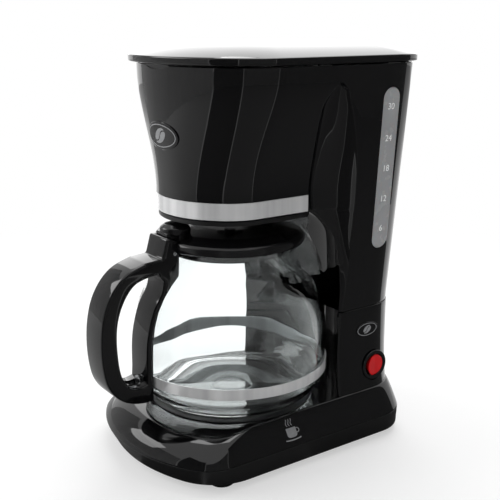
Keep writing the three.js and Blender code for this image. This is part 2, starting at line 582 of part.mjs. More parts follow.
// ---------------------------------------------------------------- badges
const badge = (width, height, thick) => {
  const oval = new THREE.Shape();
  oval.absellipse(0, 0, width / 2, height / 2, 0, 2 * Math.PI, false);
  return new THREE.ExtrudeGeometry(oval, { depth: thick, bevelEnabled: false, curveSegments: 14 });
};
const frontBadge = badge(40, 20, 60);
frontBadge.rotateX(Math.PI / 2);
frontBadge.translate(BADGE_AT[0], -30, BADGE_AT[1]);
place('front_badge', SATIN, cut(bodyShape(-1.1, 225, 275), bodyShape(-GAP, 224, 276))
  .intersect(solid(frontBadge)));
const sideBadge = badge(22, 12, 0.8);
sideBadge.rotateX(Math.PI / 2);
sideBadge.rotateZ(Math.PI / 2);
sideBadge.translate(62.4, 87, 88);
place('side_badge', SATIN, solid(sideBadge));

// ---------------------------------------------------------------- carafe
const glassOuter = [[0, 42.6], [44, 42.2], [52, 40.5], [57, 40.4], [62, 42.4], [68, 48], [72, 55.5],
  [74, 61], [74, 70], [CARAFE_R, 78], [CARAFE_R, 88], [73.8, 98], [72.2, 108], [69, 118.5],
  [63.4, 129], [57, 137], [51.2, 143], [49, 148], [49.4, 153], [51, 159.6]];
const glassInner = [[48.8, 159.8], [47, 153], [46.7, 147.5], [49.6, 141.2], [61.6, 127.8], [67, 117.4],
  [71.5, 98], [72, 82], [71.6, 60], [66.4, 49.6], [61, 44.8], [50, 43.4], [0, 44.8]];
function carafeBody() {
  const geometry = new THREE.LatheGeometry([...glassOuter, ...glassInner].map(
    (p) => new THREE.Vector2(...p)), 32);
  geometry.rotateX(Math.PI / 2);
  const position = geometry.attributes.position;
  for (let i = 0; i < position.count; i += 1) {
    const [x, y, z] = [position.getX(i), position.getY(i), position.getZ(i)];
    const facing = y / Math.max(1, Math.hypot(x, y));
    const pull = 6 * smooth((facing - 0.85) / 0.15) * smooth((z - 147) / 12);
    position.setY(i, y + pull);
  }
  return solid(geometry);
}
place('carafe_glass', GLASS, carafeBody(), [0, 0, 0], carafe);
place('carafe_band', STEEL, ring(74.4, 75.4, BAND_Z, BAND_Z + BAND_H, 48), [0, 0, 0], carafe);

const spline = (points, count) => new THREE.SplineCurve(points.map((p) => new THREE.Vector2(...p)))
  .getPoints(count).map((p) => [p.x, p.y]);
const handleOuter = [
  ...spline([[-80, 157], [-94, 152], [-104, 143.5], [-111.5, 131], [-115.5, 116], [-116.8, 100],
    [-115.8, 84], [-112.5, 70.5], [-105, 60], [-95, 54], [-84, 51.6], [-75.9, 51.4]], 22),
  [-75.9, 78], [-75.5, 90], [-74.9, 98], [-73.3, 108], [-70.2, 118.5], [-64.6, 129], [-58.4, 137],
  [-52.6, 143], [-52, 154.5], [-52, 163.5], [-53.4, 169.5],
  [-57, HANDLE_TOP_Z], [-62.5, HANDLE_TOP_Z], [-66.5, 158]];
const handleHole = [
  ...spline([[-70, 147], [-80, 145.5], [-89, 142], [-96, 134], [-101, 123.5], [-103.6, 112], [-104, 97],
    [-102, 79], [-97, 69], [-89, 65], [-81.5, 66]], 18),
  ...spline([[-81, 74], [-80.8, 88], [-79.8, 99], [-77.4, 110], [-73.6, 121], [-67, 132], [-65, 141]], 8)];
place('carafe_handle', GLOSS, cut(
  slab(handleOuter, -HANDLE_HALF, HANDLE_HALF, [handleHole]),
  box([-8.2, SLOT_Y, 152], [8.2, -40, 180]),
  rod([-20, ...LID_PIN], [20, ...LID_PIN], 1.9, 12),
  rod([0, -90, 65.3], [0, -70, 65.3], 2.6, 12),
  rod([0, -96, 65.3], [0, -81.2, 65.3], 4.4, 16)), [0, 0, 0], carafe);
place('handle_screw', STEEL, join(
  rod([0, -79, 65.3], [0, -76, 65.3], 2.2, 12), rod([0, -83.6, 65.3], [0, -81.9, 65.3], 4, 14),
  rod([0, -82.2, 65.3], [0, -78.8, 65.3], 2.2, 12)), [0, 0, 0], carafe);
place('carafe_lid_pin', STEEL, rod([-12.6, ...LID_PIN], [12.6, ...LID_PIN], 1.6, 12), [0, 0, 0], carafe);

// the lug turns in the handle's slot; the crowned pad above it reaches over the hinge block
const lidLug = slab([[-44, 160.4], [-51.8, 160.4], [-52.6, 157.4], [-58, 157.2], [-59.4, 161],
  [-59.6, 174.5], [-46, 176], [-42, 173], [-42, 170]], -7.7, 7.7);
const padTop = turned([[0, 172.7], [11.2, 172.7], [11.5, 176.2], [10.8, 177.6], [8, 179.7],
  [4, 180.9], [0, 181.2]], 40).translate([0, PAD_Y, 0]);
const padRoot = rod([0, PAD_Y, 166], [0, PAD_Y, 173], 11, 40)
  .intersect(box([-20, -51.2, 160], [20, -20, 180]));
place('carafe_lid', GLOSS, cut(
  join(
    cut(turned([[8, 170.2], [44, 166], [43.4, 154], [45.4, 154], [45.8, 160.4], [55.6, 160.4], [57, 162],
      [57, 165.8], [55, 168], [49, 169.6], [44, 171.4], [24, 173.4], [10, 173.6], [8, 172.6],
      [8, 170.2]], 32),
    box([-13.5, -80, 150], [13.5, -51.6, 190])),
    lidLug, padTop, padRoot),
  rod([-20, ...LID_PIN], [20, ...LID_PIN], 1.9, 12)), [0, 0, 0], carafe);

export default coffeeMaker;
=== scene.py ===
import json
import math
import bpy
import bmesh
from mathutils import Matrix, Vector


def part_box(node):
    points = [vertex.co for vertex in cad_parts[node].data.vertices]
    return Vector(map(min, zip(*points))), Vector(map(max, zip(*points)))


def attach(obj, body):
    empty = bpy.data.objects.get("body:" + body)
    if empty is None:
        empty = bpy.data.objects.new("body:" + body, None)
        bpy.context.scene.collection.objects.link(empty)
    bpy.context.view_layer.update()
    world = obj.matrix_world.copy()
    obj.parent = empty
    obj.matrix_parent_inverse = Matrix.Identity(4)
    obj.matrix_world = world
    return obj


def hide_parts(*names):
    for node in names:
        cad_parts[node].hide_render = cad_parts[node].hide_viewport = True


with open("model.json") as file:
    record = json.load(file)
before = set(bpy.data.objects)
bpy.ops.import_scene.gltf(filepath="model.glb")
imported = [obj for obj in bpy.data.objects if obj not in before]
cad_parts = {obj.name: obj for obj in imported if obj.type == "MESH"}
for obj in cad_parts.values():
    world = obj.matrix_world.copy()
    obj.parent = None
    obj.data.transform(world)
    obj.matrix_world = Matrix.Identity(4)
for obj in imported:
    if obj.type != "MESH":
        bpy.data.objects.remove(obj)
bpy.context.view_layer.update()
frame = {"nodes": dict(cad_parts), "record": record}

# ---------------------------------------------------------------- sizes, in millimetres
# Everything is drawn about the carafe's axis and then moved to where the frame has it.
MM = 0.001
low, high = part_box("carafe_band")
AXIS = Vector(((low.x + high.x) / 2, (low.y + high.y) / 2, 0))

LEDGE_Z, DECK_Z, SEAM_Z = 18.9, 38.4, 106.8      # base: widest line, top, joint with housing
CEILING_Z, BAND_TOP_Z = 186.9, 199.4             # underside of the bucket, top of its band
ARCH_TOP_Z, RIM_Z, LID_Z = 281, 293, 293.9
LID_EDGE, LID_RISE = 4.8, 9.2
REAR_Y, BAY_Y, WALL, GAP = 125, 86, 2.5, 0.3
SKIRT_Z = 4.6
HINGE_Y, HINGE_Z, HINGE_X = 126, 294.5, 25.2
SWITCH = (62.6, 95.5, 56.5)
SCOOP_Z, SCOOP_R = 289.8, 60                      # finger recess under the lid
BAND_LOW, BAND_TALL = 61.2, 8.2                   # steel band round the carafe
PIN_Y, PIN_Z = -55.8, 160.4                       # carafe lid's pin
DRIP_HOLE_R, HINGE_BORE_R, PIN_BORE_R = 11, 1.8, 1.9
LUG_HALF = 2.6                                   # half width of a hinge lug
BAY_SPRING_Z, BAY_ARCH_R = 157, 30               # where the bay's rear wall starts to lean forward
GAUGE_LOW, GAUGE_HIGH = (92.6, 162), (89.3, 268)  # middles of the gauge window's round ends
COLUMN_Z, COLUMN_HALF, COLUMN_GROWTH, COLUMN_RUN = 110, 62, 18, 182
LID_HALF, ROLL_FULL = 82.3, 0.8775
SCREW_Z = 65.3                                   # screw through handle and band
BUTTON_SIDES, CLOTH_SIDES = 64, 96
SCREWS = [(-50, -40), (50, -40), (-58.6, 88), (58.6, 88)]
FEET = [(-61.6, -50), (61.6, -50), (-56, 108), (56, 108)]
PAD_Y, SLOT_Y = -48, -61                         # thumb pad's middle, front of its slot


def mix(a, b, t):
    return a + (b - a) * t


def clamp(t):
    return min(1.0, max(0.0, t))


def smooth(t):
    t = clamp(t)
    return t * t * (3 - 2 * t)


def spread(first, last, count):
    return [mix(first, last, i / count) for i in range(count + 1)]


def along(table, z):
    """smooth reading of a rising table of (height, value) pairs"""
    if z <= table[0][0]:
        return table[0][1]
    if z >= table[-1][0]:
        return table[-1][1]
    slopes = []
    for i in range(len(table)):
        a, b = table[max(0, i - 1)], table[min(len(table) - 1, i + 1)]
        slopes.append((b[1] - a[1]) / (b[0] - a[0]))
    for i, ((z0, v0), (z1, v1)) in enumerate(zip(table, table[1:])):
        if z <= z1:
            h, t = z1 - z0, (z - z0) / (z1 - z0)
            return ((2 * t ** 3 - 3 * t * t + 1) * v0 + (t ** 3 - 2 * t * t + t) * h * slopes[i]
                    + (3 * t * t - 2 * t ** 3) * v1 + (t ** 3 - t * t) * h * slopes[i + 1])


def curve_through(points, count):
    """a smooth run of points through a few given ones"""
    run = []
    for i in range(len(points) - 1):
        p = [Vector(points[max(0, min(len(points) - 1, k))]) for k in (i - 1, i, i + 1, i + 2)]
        for k in range(count):
            t = k / count
            run.append(0.5 * ((2 * p[1]) + (p[2] - p[0]) * t
                              + (2 * p[0] - 5 * p[1] + 4 * p[2] - p[3]) * t * t
                              + (3 * p[1] - p[0] - 3 * p[2] + p[3]) * t ** 3))
    run.append(Vector(points[-1]))
    return [tuple(p) for p in run]


# ---------------------------------------------------------------- colour and material helpers
def shade(code):
    """an sRGB hex colour as linear red, green, blue and alpha"""
    channels = [int(code[i:i + 2], 16) / 255 for i in (1, 3, 5)]
    return tuple(c / 12.92 if c <= 0.04045 else ((c + 0.055) / 1.055) ** 2.4 for c in channels) + (1.0,)


def add(tree, kind, inputs=None, **settings):
    """adds a node with its settings; an input is a value or another node's output"""
    node = tree.nodes.new(kind)
    for name, value in settings.items():
        setattr(node, name, value)
    for name, value in (inputs or {}).items():
        if isinstance(value, bpy.types.NodeSocket):
            tree.links.new(value, node.inputs[name])
        else:
            node.inputs[name].default_value = value
    return node


def bare_tree(owner):
    """the empty node tree of a material or of the world"""
    owner.use_nodes = True
    owner.node_tree.nodes.clear()
    return owner.node_tree


def noise_of(tree, place, size_mm, detail, stretch):
    """noise of one grain size, drawn out along each axis that has a small number in stretch"""
    spot_of = add(tree, "ShaderNodeMapping", {"Vector": place, "Scale": stretch})
    return add(tree, "ShaderNodeTexNoise", {
        "Vector": spot_of.outputs[0], "Scale": 1 / (size_mm * MM), "Detail": detail}).outputs["Fac"]


def grain(tree, shader, place, size_mm, depth_mm, rough, detail=3.0, stretch=(1, 1, 1)):
    """gives a surface its relief and its uneven gloss"""
    noise = noise_of(tree, place, size_mm, detail, stretch)
    bump = add(tree, "ShaderNodeBump", {"Height": noise, "Distance": depth_mm * MM, "Strength": 1.0})
    tree.links.new(bump.outputs[0], shader.inputs["Normal"])
    gloss = add(tree, "ShaderNodeMapRange", {
        "Value": noise, "From Min": 0.3, "From Max": 0.7, "To Min": rough[0], "To Max": rough[1]})
    tree.links.new(gloss.outputs[0], shader.inputs["Roughness"])


def tint(tree, shader, place, size_mm, dark, light, stretch=(1, 1, 1)):
    """slow drift between two close colours"""
    noise = noise_of(tree, place, size_mm, 2.0, stretch)
    blend = add(tree, "ShaderNodeMix", {"Factor": noise, 6: shade(dark), 7: shade(light)}, data_type="RGBA")
    tree.links.new(blend.outputs[2], shader.inputs["Base Color"])


def surface(name, relief, colours=(), **settings):
    """a material from its relief, its two colours and its shader's settings"""
    material = bpy.data.materials.new(name)
    tree = bare_tree(material)
    shader = add(tree, "ShaderNodeBsdfPrincipled",
                 {key.replace("_", " "): value for key, value in settings.items()})
    add(tree, "ShaderNodeOutputMaterial", {"Surface": shader.outputs[0]})
    place = add(tree, "ShaderNodeTexCoord").outputs["Object"]
    grain(tree, shader, place, *relief)
    if colours:
        tint(tree, shader, place, *colours)
    return material


# Piano-black ABS, injection moulded in a polished tool: deep black with mirror-like
# reflections that waver slightly, from the slow ripple of the moulded skin.
polished_abs = surface("polished_black_abs", (30, 0.006, (0.03, 0.06), 1.0),
                       (60, "#050506", "#09090A"), IOR=1.53)

# Black polypropylene moulded against a fine spark-eroded tool: a soft broad sheen
# and a grain of 0.5 mm, drawn coarser than the real 0.1 mm so that it shows.
satin_pp = surface("satin_black_polypropylene", (0.5, 0.02, (0.36, 0.5), 2.0),
                   (30, "#0C0C0D", "#141415"), IOR=1.49)

# Carafe lid and switch surround in a semi-gloss black polypropylene: softer highlights
# than the polished plastic of housing and handle, tighter than the satin parts'.
lid_pp = surface("semi_gloss_black_polypropylene", (9, 0.015, (0.14, 0.22), 2.0),
                 (30, "#09090A", "#101011"), IOR=1.49)

# Stainless strip brushed along its length, lines 0.35 mm apart: highlights smear up and down
# across the lines. Its upright lighter and darker streaks are painted reflections in its colour,
# and its near-white, less than fully metallic colour paints a pale reflection against the dark cloths.
brushed_strip_painted_reflections = surface("brushed_stainless_painted_reflections", (0.35, 0.006, (0.13, 0.22), 2.0, (0.02, 0.02, 1)),
                        (9, "#B4B5B7", "#FFFFFF", (1, 1, 0.02)), Metallic=0.45, Anisotropic=0.6)

# Rolled stainless, tumbled bright: small pressed parts and screws, with a faint drawn grain.
bright_steel = surface("tumbled_stainless_steel", (0.8, 0.006, (0.18, 0.32), 3.0),
                       (8, "#AEB0B2", "#C4C6C8"), Metallic=1.0)

# Borosilicate glass, mould-blown: clear, with a slow waver in the wall that bends highlights.
# Its index is set below the real 1.47, so that the wall mirrors less of the white tent.
blown_glass = surface("mould_blown_borosilicate", (40, 0.004, (0.0, 0.01), 1.0),
                      Base_Color=shade("#F6F9F9"), IOR=1.4, Transmission_Weight=1.0)

# Smoked polypropylene window, moulded: milky grey, lit from within, with a soft sheen.
smoked_pp = surface("smoked_translucent_polypropylene", (6, 0.02, (0.2, 0.3), 2.0),
                    (24, "#8A8B8D", "#A0A1A2"), IOR=1.49, Subsurface_Weight=0.25, Subsurface_Scale=0.002)

# Pad-printed ink: flat white, slightly uneven cover.
white_ink = surface("pad_printed_white_ink", (0.6, 0.004, (0.45, 0.6), 2.0),
                    (2, "#E2E3E3", "#F4F4F4"), IOR=1.5)
grey_ink = surface("pad_printed_grey_ink", (0.6, 0.004, (0.4, 0.55), 2.0),
                   (2, "#77787A", "#8A8B8D"), IOR=1.5)

# Non-stick coating sprayed on a pressed steel plate: near-black, fine sprayed grain of
# 0.7 mm and a low sheen.
sprayed_coating = surface("sprayed_non_stick_coating", (0.7, 0.03, (0.32, 0.46), 4.0),
                          (16, "#141414", "#1E1E1F"), IOR=1.45)

# Moulded rubber: matt black with a dusty bloom.
moulded_rubber = surface("moulded_black_rubber", (0.9, 0.03, (0.7, 0.85), 4.0),
                         (10, "#131313", "#1D1D1D"), IOR=1.52)

# Moulded silicone: milky, soft, lets some light in.
milky_silicone = surface("moulded_milky_silicone", (1.2, 0.02, (0.42, 0.55), 3.0),
                         (12, "#CFCBC0", "#DEDBD2"), IOR=1.41, Subsurface_Weight=0.4, Subsurface_Scale=0.003)

# The plate's own seal is the same silicone pigmented black, as it sits in a black deck.
black_silicone = surface("moulded_black_silicone", (1.2, 0.02, (0.35, 0.5), 3.0),
                         (12, "#0E0E0F", "#161617"), IOR=1.41)

# Drawn aluminium tube: pale grey with faint lengthwise drawing marks.
drawn_aluminium = surface("drawn_aluminium", (0.6, 0.01, (0.3, 0.45), 3.0),
                          (10, "#A6A8AA", "#BFC1C3"), Metallic=1.0)

# Bare turned brass: warm yellow with faint turning marks.
turned_brass = surface("turned_brass", (0.4, 0.008, (0.25, 0.4), 3.0),
                       (8, "#B08D4A", "#C6A15C"), Metallic=1.0)

# Natural polypropylene tank, moulded: cloudy white-grey that lets light in.
natural_pp = surface("natural_polypropylene", (3, 0.02, (0.3, 0.42), 3.0),
                     (30, "#BEC1C1", "#D2D5D5"), IOR=1.49, Subsurface_Weight=0.3, Subsurface_Scale=0.003)

# Gold-toned woven wire: titanium-nitride coated steel cloth.
gold_wire = surface("titanium_coated_woven_wire", (0.5, 0.01, (0.25, 0.4), 2.0),
                    (6, "#B58F48", "#CBA763"), Metallic=1.0)

# Red polycarbonate rocker, moulded glossy: deep translucent red.
red_polycarbonate = surface("moulded_red_polycarbonate", (7, 0.01, (0.1, 0.18), 2.0),
                            (9, "#B80F14", "#D4181D"), IOR=1.58,
                            Subsurface_Weight=0.3, Subsurface_Scale=0.004)


# ---------------------------------------------------------------- mesh helpers
def spot(point):
    return Vector(point) * MM + AXIS


def placed(name, data):
    """a new object in the scene"""
    obj = bpy.data.objects.new(name, data)
    bpy.context.collection.objects.link(obj)
    return obj


def made_mesh(obj):
    """the plain mesh that an object's modifiers, curve or text make"""
    bpy.context.view_layer.update()
    return bpy.data.meshes.new_from_object(obj.evaluated_get(bpy.context.evaluated_depsgraph_get()))


def body_of(name, points, faces):
    """a mesh object from points in millimetres about the carafe's axis"""
    mesh = bpy.data.meshes.new(name)
    mesh.from_pydata([spot(p) for p in points], [], faces)
    mesh.validate()
    return placed(name, mesh)


def circle(radius, sides):
    return [(radius * math.cos(2 * math.pi * i / sides), radius * math.sin(2 * math.pi * i / sides))
            for i in range(sides)]


def ring_faces(n, rows, capped=True):
    """faces between rings of n points, with the first and last ring closed if capped"""
    faces = [(k * n + i, k * n + (i + 1) % n, (k + 1) * n + (i + 1) % n, (k + 1) * n + i)
             for k in range(rows - 1) for i in range(n)]
    if capped:
        faces += [tuple(reversed(range(n))), tuple(range((rows - 1) * n, rows * n))]
    return faces


def fan_faces(n, rows):
    """faces from point 0 out over rings of n points, with the last ring closed"""
    faces = []
    for i in range(n):
        j = (i + 1) % n
        faces.append((0, 1 + i, 1 + j))
        for k in range(rows - 1):
            a, b = 1 + n * k, 1 + n * (k + 1)
            faces.append((a + i, b + i, b + j, a + j))
    last = 1 + n * (rows - 1)
    return faces + [tuple(reversed(range(last, last + n)))]


def skin(name, rings):
    """a closed body over anticlockwise rings that rise, capped at both ends"""
    return body_of(name, [p for ring in rings for p in ring], ring_faces(len(rings[0]), len(rings)))


def turned(name, profile, sides=96, at=(0, 0)):
    """a turned body about +Z from (radius, height) points, run anticlockwise in section"""
    points, rows = [], []
    for r, z in profile:
        if r < 1e-6:
            rows.append([len(points)] * sides)
            points.append((at[0], at[1], z))
        else:
            rows.append(range(len(points), len(points) + sides))
            points += [(at[0] + x, at[1] + y, z) for x, y in circle(r, sides)]
    faces = []
    closed = profile[0][0] > 1e-6
    pairs = list(zip(rows, rows[1:])) + ([(rows[-1], rows[0])] if closed else [])
    for a, b in pairs:
        for i in range(sides):
            j = (i + 1) % sides
            face = list(dict.fromkeys((a[i], a[j], b[j], b[i])))
            if len(face) > 2:
                faces.append(face)
    return outward(body_of(name, points, faces))


def outward(obj):
    """merges doubles and points every face out of the body"""
    mesh = bmesh.new()
    mesh.from_mesh(obj.data)
    bmesh.ops.remove_doubles(mesh, verts=mesh.verts, dist=1e-7)
    bmesh.ops.recalc_face_normals(mesh, faces=mesh.faces)
    mesh.to_mesh(obj.data)
    mesh.free()
    return obj


def bar(name, start, end, radius, sides=48):
    """a round bar between two points, used as a cutter or as a core"""
    turn = Vector((0, 0, 1)).rotation_difference(Vector(end) - Vector(start))
    ring = [turn @ Vector((x, y, 0)) for x, y in circle(radius, sides)]
    points = [tuple(Vector(centre) + p) for centre in (start, end) for p in ring]
    return body_of(name, points, ring_faces(sides, 2))


def block(name, corner, far_corner):
    """a box between two corners, used as a cutter or as a core"""
    (x0, y0, z0), (x1, y1, z1) = corner, far_corner
    ring = [(x0, y0), (x1, y0), (x1, y1), (x0, y1)]
    return skin(name, [[(x, y, z0) for x, y in ring], [(x, y, z1) for x, y in ring]])


def settled_mesh(obj):
    """replaces an object's mesh with what its modifiers make of it"""
    result = made_mesh(obj)
    obj.modifiers.clear()
    obj.data = result
    return obj


def combine(obj, tools, operation):
    """cuts tools out of obj, or joins them to it, and removes the tools"""
    for tool in tools:
        step = obj.modifiers.new(operation.lower(), "BOOLEAN")
        step.operation = operation
        step.solver = "MANIFOLD"
        step.object = tool
        settled_mesh(obj)
        if not len(obj.data.polygons):
            raise RuntimeError(f"{operation} of {tool.name} emptied {obj.name}")
        bpy.data.objects.remove(tool)
    return obj


def carve(obj, *tools):
    return combine(obj, tools, "DIFFERENCE")


def weld(obj, *tools):
    return combine(obj, tools, "UNION")


def soften(obj, width_mm, angle=40, segments=2):
    """rounds the edges sharper than an angle"""
    step = obj.modifiers.new("edge", "BEVEL")
    step.width = width_mm * MM
    step.segments = segments
    step.limit_method = "ANGLE"
    step.angle_limit = math.radians(angle)
    step.harden_normals = False
    return settled_mesh(obj)


def settle(obj, material, body, slot, *nodes, angle=32):
    """gives a finished piece its material and shading, puts it on its body and hides the nodes it replaces
    """
    obj.data.materials.clear()
    obj.data.materials.append(material)
    obj.data.polygons.foreach_set("material_index", [0] * len(obj.data.polygons))
    obj.data.shade_smooth()
    obj.data.set_sharp_from_angle(angle=math.radians(angle))
    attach(obj, body)
    if nodes:
        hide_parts(*nodes)
    return obj


# ---------------------------------------------------------------- outlines of housing and base
def arc(cx, cy, radius, start, end, count):
    return [(cx + radius * math.cos(a), cy + radius * math.sin(a)) for a in spread(start, end, count)]


def bowed_front(w, front, sag, corner, fine=22):
    """half of the bowed front: an arc that blends into a straight side"""
    radius = (w * w + sag * sag) / (2 * sag)
    cy = front + radius
    corner_y = cy - math.sqrt((radius - corner) ** 2 - (w - corner) ** 2)
    meet = math.atan2(corner_y - cy, w - corner)
    return (arc(0, cy, radius, -math.pi / 2, meet, fine)
            + arc(w - corner, corner_y, corner, meet, 0, 14)[1:])


def rear_half(w, rear, corner, start_y=None):
    straight = [] if start_y is None else [(w, y) for y in spread(start_y, rear - corner, 6)[1:-1]]
    return (straight + arc(w - corner, rear - corner, corner, 0, math.pi / 2, 14)
            + [(x, rear) for x in spread(w - corner, 0, 5)[1:]])


def mirrored(half):
    return half + [(-x, y) for x, y in reversed(half[1:-1])]


def at_height(outline, z):
    return [(x, y, z) for x, y in outline]


def inset(outline, distance):
    """moves an anticlockwise outline inwards"""
    moved = []
    n = len(outline)
    for i, (x, y) in enumerate(outline):
        (ax, ay), (bx, by) = outline[i - 1], outline[(i + 1) % n]
        l1, l2 = math.hypot(x - ax, y - ay) or 1, math.hypot(bx - x, by - y) or 1
        n1, n2 = (-(y - ay) / l1, (x - ax) / l1), (-(by - y) / l2, (bx - x) / l2)
        scale = distance / max(0.5, 1 + n1[0] * n2[0] + n1[1] * n2[1])
        moved.append((x + (n1[0] + n2[0]) * scale, y + (n1[1] + n2[1]) * scale))
    return moved


def bend(start, knee, end, count):
    """points of a soft bend that starts and ends on the two outer points"""
    return [tuple((1 - t) ** 2 * start[k] + 2 * t * (1 - t) * knee[k] + t * t * end[k] for k in (0, 1))
            for t in spread(0, 1, count)]


def column_half(z):
    """half width of the column: it leans outwards above, and spreads a little at its foot"""
    if z > COLUMN_Z:
        return COLUMN_HALF + COLUMN_GROWTH * (z - COLUMN_Z) / COLUMN_RUN
    return COLUMN_HALF + 2.6 * clamp((76 - z) / 38) ** 2


def bucket_half(z):
    return 52 + 28 * smooth((z - 200) / 92)


def bucket_front(z):
    return -54.6 - 6.3 * smooth((z - 202) / 84)


# (height, y or half width or depth) of the arched recess in the housing's sides, and of the
# bay's front edge below the bucket
ARCH_FRONT = [(107, 58), (126, 57), (150, 54.7), (162, 51.5), (169, 48), (176, 43), (187, 35.6),
              (222, 33.4), (245, 29.7), (256, 28), (266, 27.6), (273, 30.9), (281, 38)]
ARCH_REAR = [(107, 61.5), (141, 63.6), (165, 62.7), (191, 63.2), (214, 62.2), (236, 59.3),
             (258, 53.6), (269, 49.4), (276, 46.7), (281, 41)]
BAY_EDGE = [(107, 61), (126, 63), (150, 62.5), (162, 61.5), (169, 60), (176, 57), (181, 55), (187, 52)]
ARCH_DEPTH = [(107, 0.3), (141, 1), (165, 5), (190, 9), (245, 8), (264, 6), (274, 4.4), (279.6, 3),
              (281, 0)]


def housing_outline(z, edge=0.45):
    """plan of the housing: bowed bucket front, arched side recess, column behind"""
    low_part = z < CEILING_Z + 0.2
    b = [along(BAY_EDGE, z) if low_part else bucket_half(z), along(ARCH_FRONT, z)]
    c = [column_half(z), along(ARCH_REAR, z)]
    if z > ARCH_TOP_Z:
        b[0] = c[0]
    if low_part:
        length = math.hypot(c[0] - b[0], c[1] - b[1])
        b = [b[0] - 1.5 * (c[0] - b[0]) / length, b[1] - 1.5 * (c[1] - b[1]) / length]
    depth = along(ARCH_DEPTH, z)
    scoop = [(mix(b[0], c[0], t) - depth * (1 - abs(2 * t - 1) ** 3.6), mix(b[1], c[1], t))
             for t in [0.5 - 0.5 * math.cos(math.pi * k / 20) for k in range(21)]]
    reach = min(edge, 0.2 * math.hypot(c[0] - b[0], c[1] - b[1]))
    near = bend((b[0], b[1] - reach), b, scoop[1], 4)
    far = bend(scoop[-2], c, (c[0], c[1] + reach), 4)
    front = bowed_front(b[0], bucket_front(z), 35.2, mix(37, 44, smooth((z - 200) / 92)))
    side = [(b[0], y) for y in spread(front[-1][1], b[1] - reach, 3)[1:-1]]
    return mirrored(front + side + near + scoop[2:-2] + far
                    + rear_half(c[0], REAR_Y, 32, c[1] + reach))


def levels(*runs):
    """heights from (start, end, step) runs, without repeats"""
    heights = []
    for start, end, step in runs:
        heights += spread(start, end, max(1, round((end - start) / step)))
    return sorted(set(round(z, 3) for z in heights))


def bay_outline(z, grow):
    """plan of the carafe's bay, open to the front, with its wall moved out by grow"""
    edge = (along(BAY_EDGE, z), along(ARCH_FRONT, z))
    rise = clamp((z - BAY_SPRING_Z) / BAY_ARCH_R)
    middle = BAY_Y - BAY_ARCH_R * (1 - math.sqrt(max(0, 1 - rise * rise)))
    sag = max(8, middle - edge[1])
    radius = (edge[0] ** 2 + sag * sag) / (2 * sag)
    side = radius + grow + 20
    return ([(-side, -140), (side, -140)]
            + arc(0, middle - radius, radius + grow, 0.06, math.pi - 0.06, 110))


def bay(grow):
    heights = ([90] + levels((SEAM_Z, BAY_SPRING_Z, 4))
               + [BAY_SPRING_Z + BAY_ARCH_R * math.sin(math.pi / 2 * k / 26) for k in range(1, 26)]
               + [CEILING_Z])
    return skin("bay", [at_height(bay_outline(z, grow), z + (grow if z == CEILING_Z else 0))
                        for z in heights])


def slab(name, outline, start, end):
    """a flat (y, z) outline given thickness along X"""
    points = [(x, y, z) for x in (start, end) for y, z in outline]
    return outward(body_of(name, points, ring_faces(len(outline), 2)))


def eased(outline, reach, closed=True, count=3):
    """an outline with each corner rounded, by up to 0.4 of its sides"""
    result = []
    n = len(outline)
    for i, point in enumerate(outline):
        if not closed and i in (0, n - 1):
            result.append(point)
            continue
        before, after = outline[i - 1], outline[(i + 1) % n]
        run = []
        for other in (before, after):
            length = math.dist(point, other)
            share = min(0.4, reach / length) if length else 0
            run.append(tuple(mix(a, b, share) for a, b in zip(point, other)))
        result += bend(run[0], point, run[1], count)
    return result


def rounded_slab(name, outline, half, round_mm, holes=()):
    """a (y, z) outline with holes, given thickness about x = 0, with rounded edges"""
    shape = bpy.data.curves.new(name, "CURVE")
    shape.dimensions = "2D"
    shape.fill_mode = "BOTH"
    shape.extrude = (half - round_mm) * MM
    shape.bevel_depth = round_mm * MM
    shape.bevel_resolution = 3
    shape.offset = -round_mm * MM
    for loop in (outline, *holes):
        spline = shape.splines.new("POLY")
        spline.points.add(len(loop) - 1)
        for point, (y, z) in zip(spline.points, loop):
            point.co = (y * MM, z * MM, 0, 1)
        spline.use_cyclic_u = True
    pattern = placed(name + "_pattern", shape)
    mesh = made_mesh(pattern)
    bpy.data.objects.remove(pattern)
    upright = Matrix(((0, 0, 1, 0), (1, 0, 0, 0), (0, 1, 0, 0), (0, 0, 0, 1)))
    mesh.transform(Matrix.Translation(AXIS) @ upright)
    return outward(placed(name, mesh))


def refined(node, material, slot, width_mm=0.3, angle=35):
    """a merged copy of a CAD node with its edges rounded, which stands for that node"""
    mesh = frame["nodes"][node].data.copy()
    obj = placed(node + "_refined", mesh)
    work = bmesh.new()
    work.from_mesh(mesh)
    bmesh.ops.remove_doubles(work, verts=work.verts, dist=2e-6)
    bmesh.ops.dissolve_limit(
        work, angle_limit=math.radians(0.5), verts=work.verts, edges=work.edges)
    work.to_mesh(mesh)
    work.free()
    if width_mm:
        soften(obj, width_mm, angle)
    bodies = frame["record"]["behaviour"]["bodies"]
    body = next(name for name, nodes in bodies.items() if node in nodes)
    return settle(obj, material, body, slot, node, angle=angle + 10)


def belt(name, outline, outer, inner, low_z, high_z, rear, edge=0.2):
    """a strip round the front of an outline, between two depths and two heights"""
    count = next(i for i, (x, y) in enumerate(outline) if y > rear)
    order = [-k for k in range(count - 1, 0, -1)] + list(range(count))
    face_line, edge_line, back_line = (inset(outline, d) for d in (outer, outer + edge, inner))
    points = []
    for i in order:
        (ax, ay), (bx, by), (cx, cy) = face_line[i], edge_line[i], back_line[i]
        points += [(bx, by, low_z), (ax, ay, low_z + edge), (ax, ay, high_z - edge), (bx, by, high_z),
                   (cx, cy, high_z), (cx, cy, low_z)]
    return outward(body_of(name, points, ring_faces(6, len(order))))


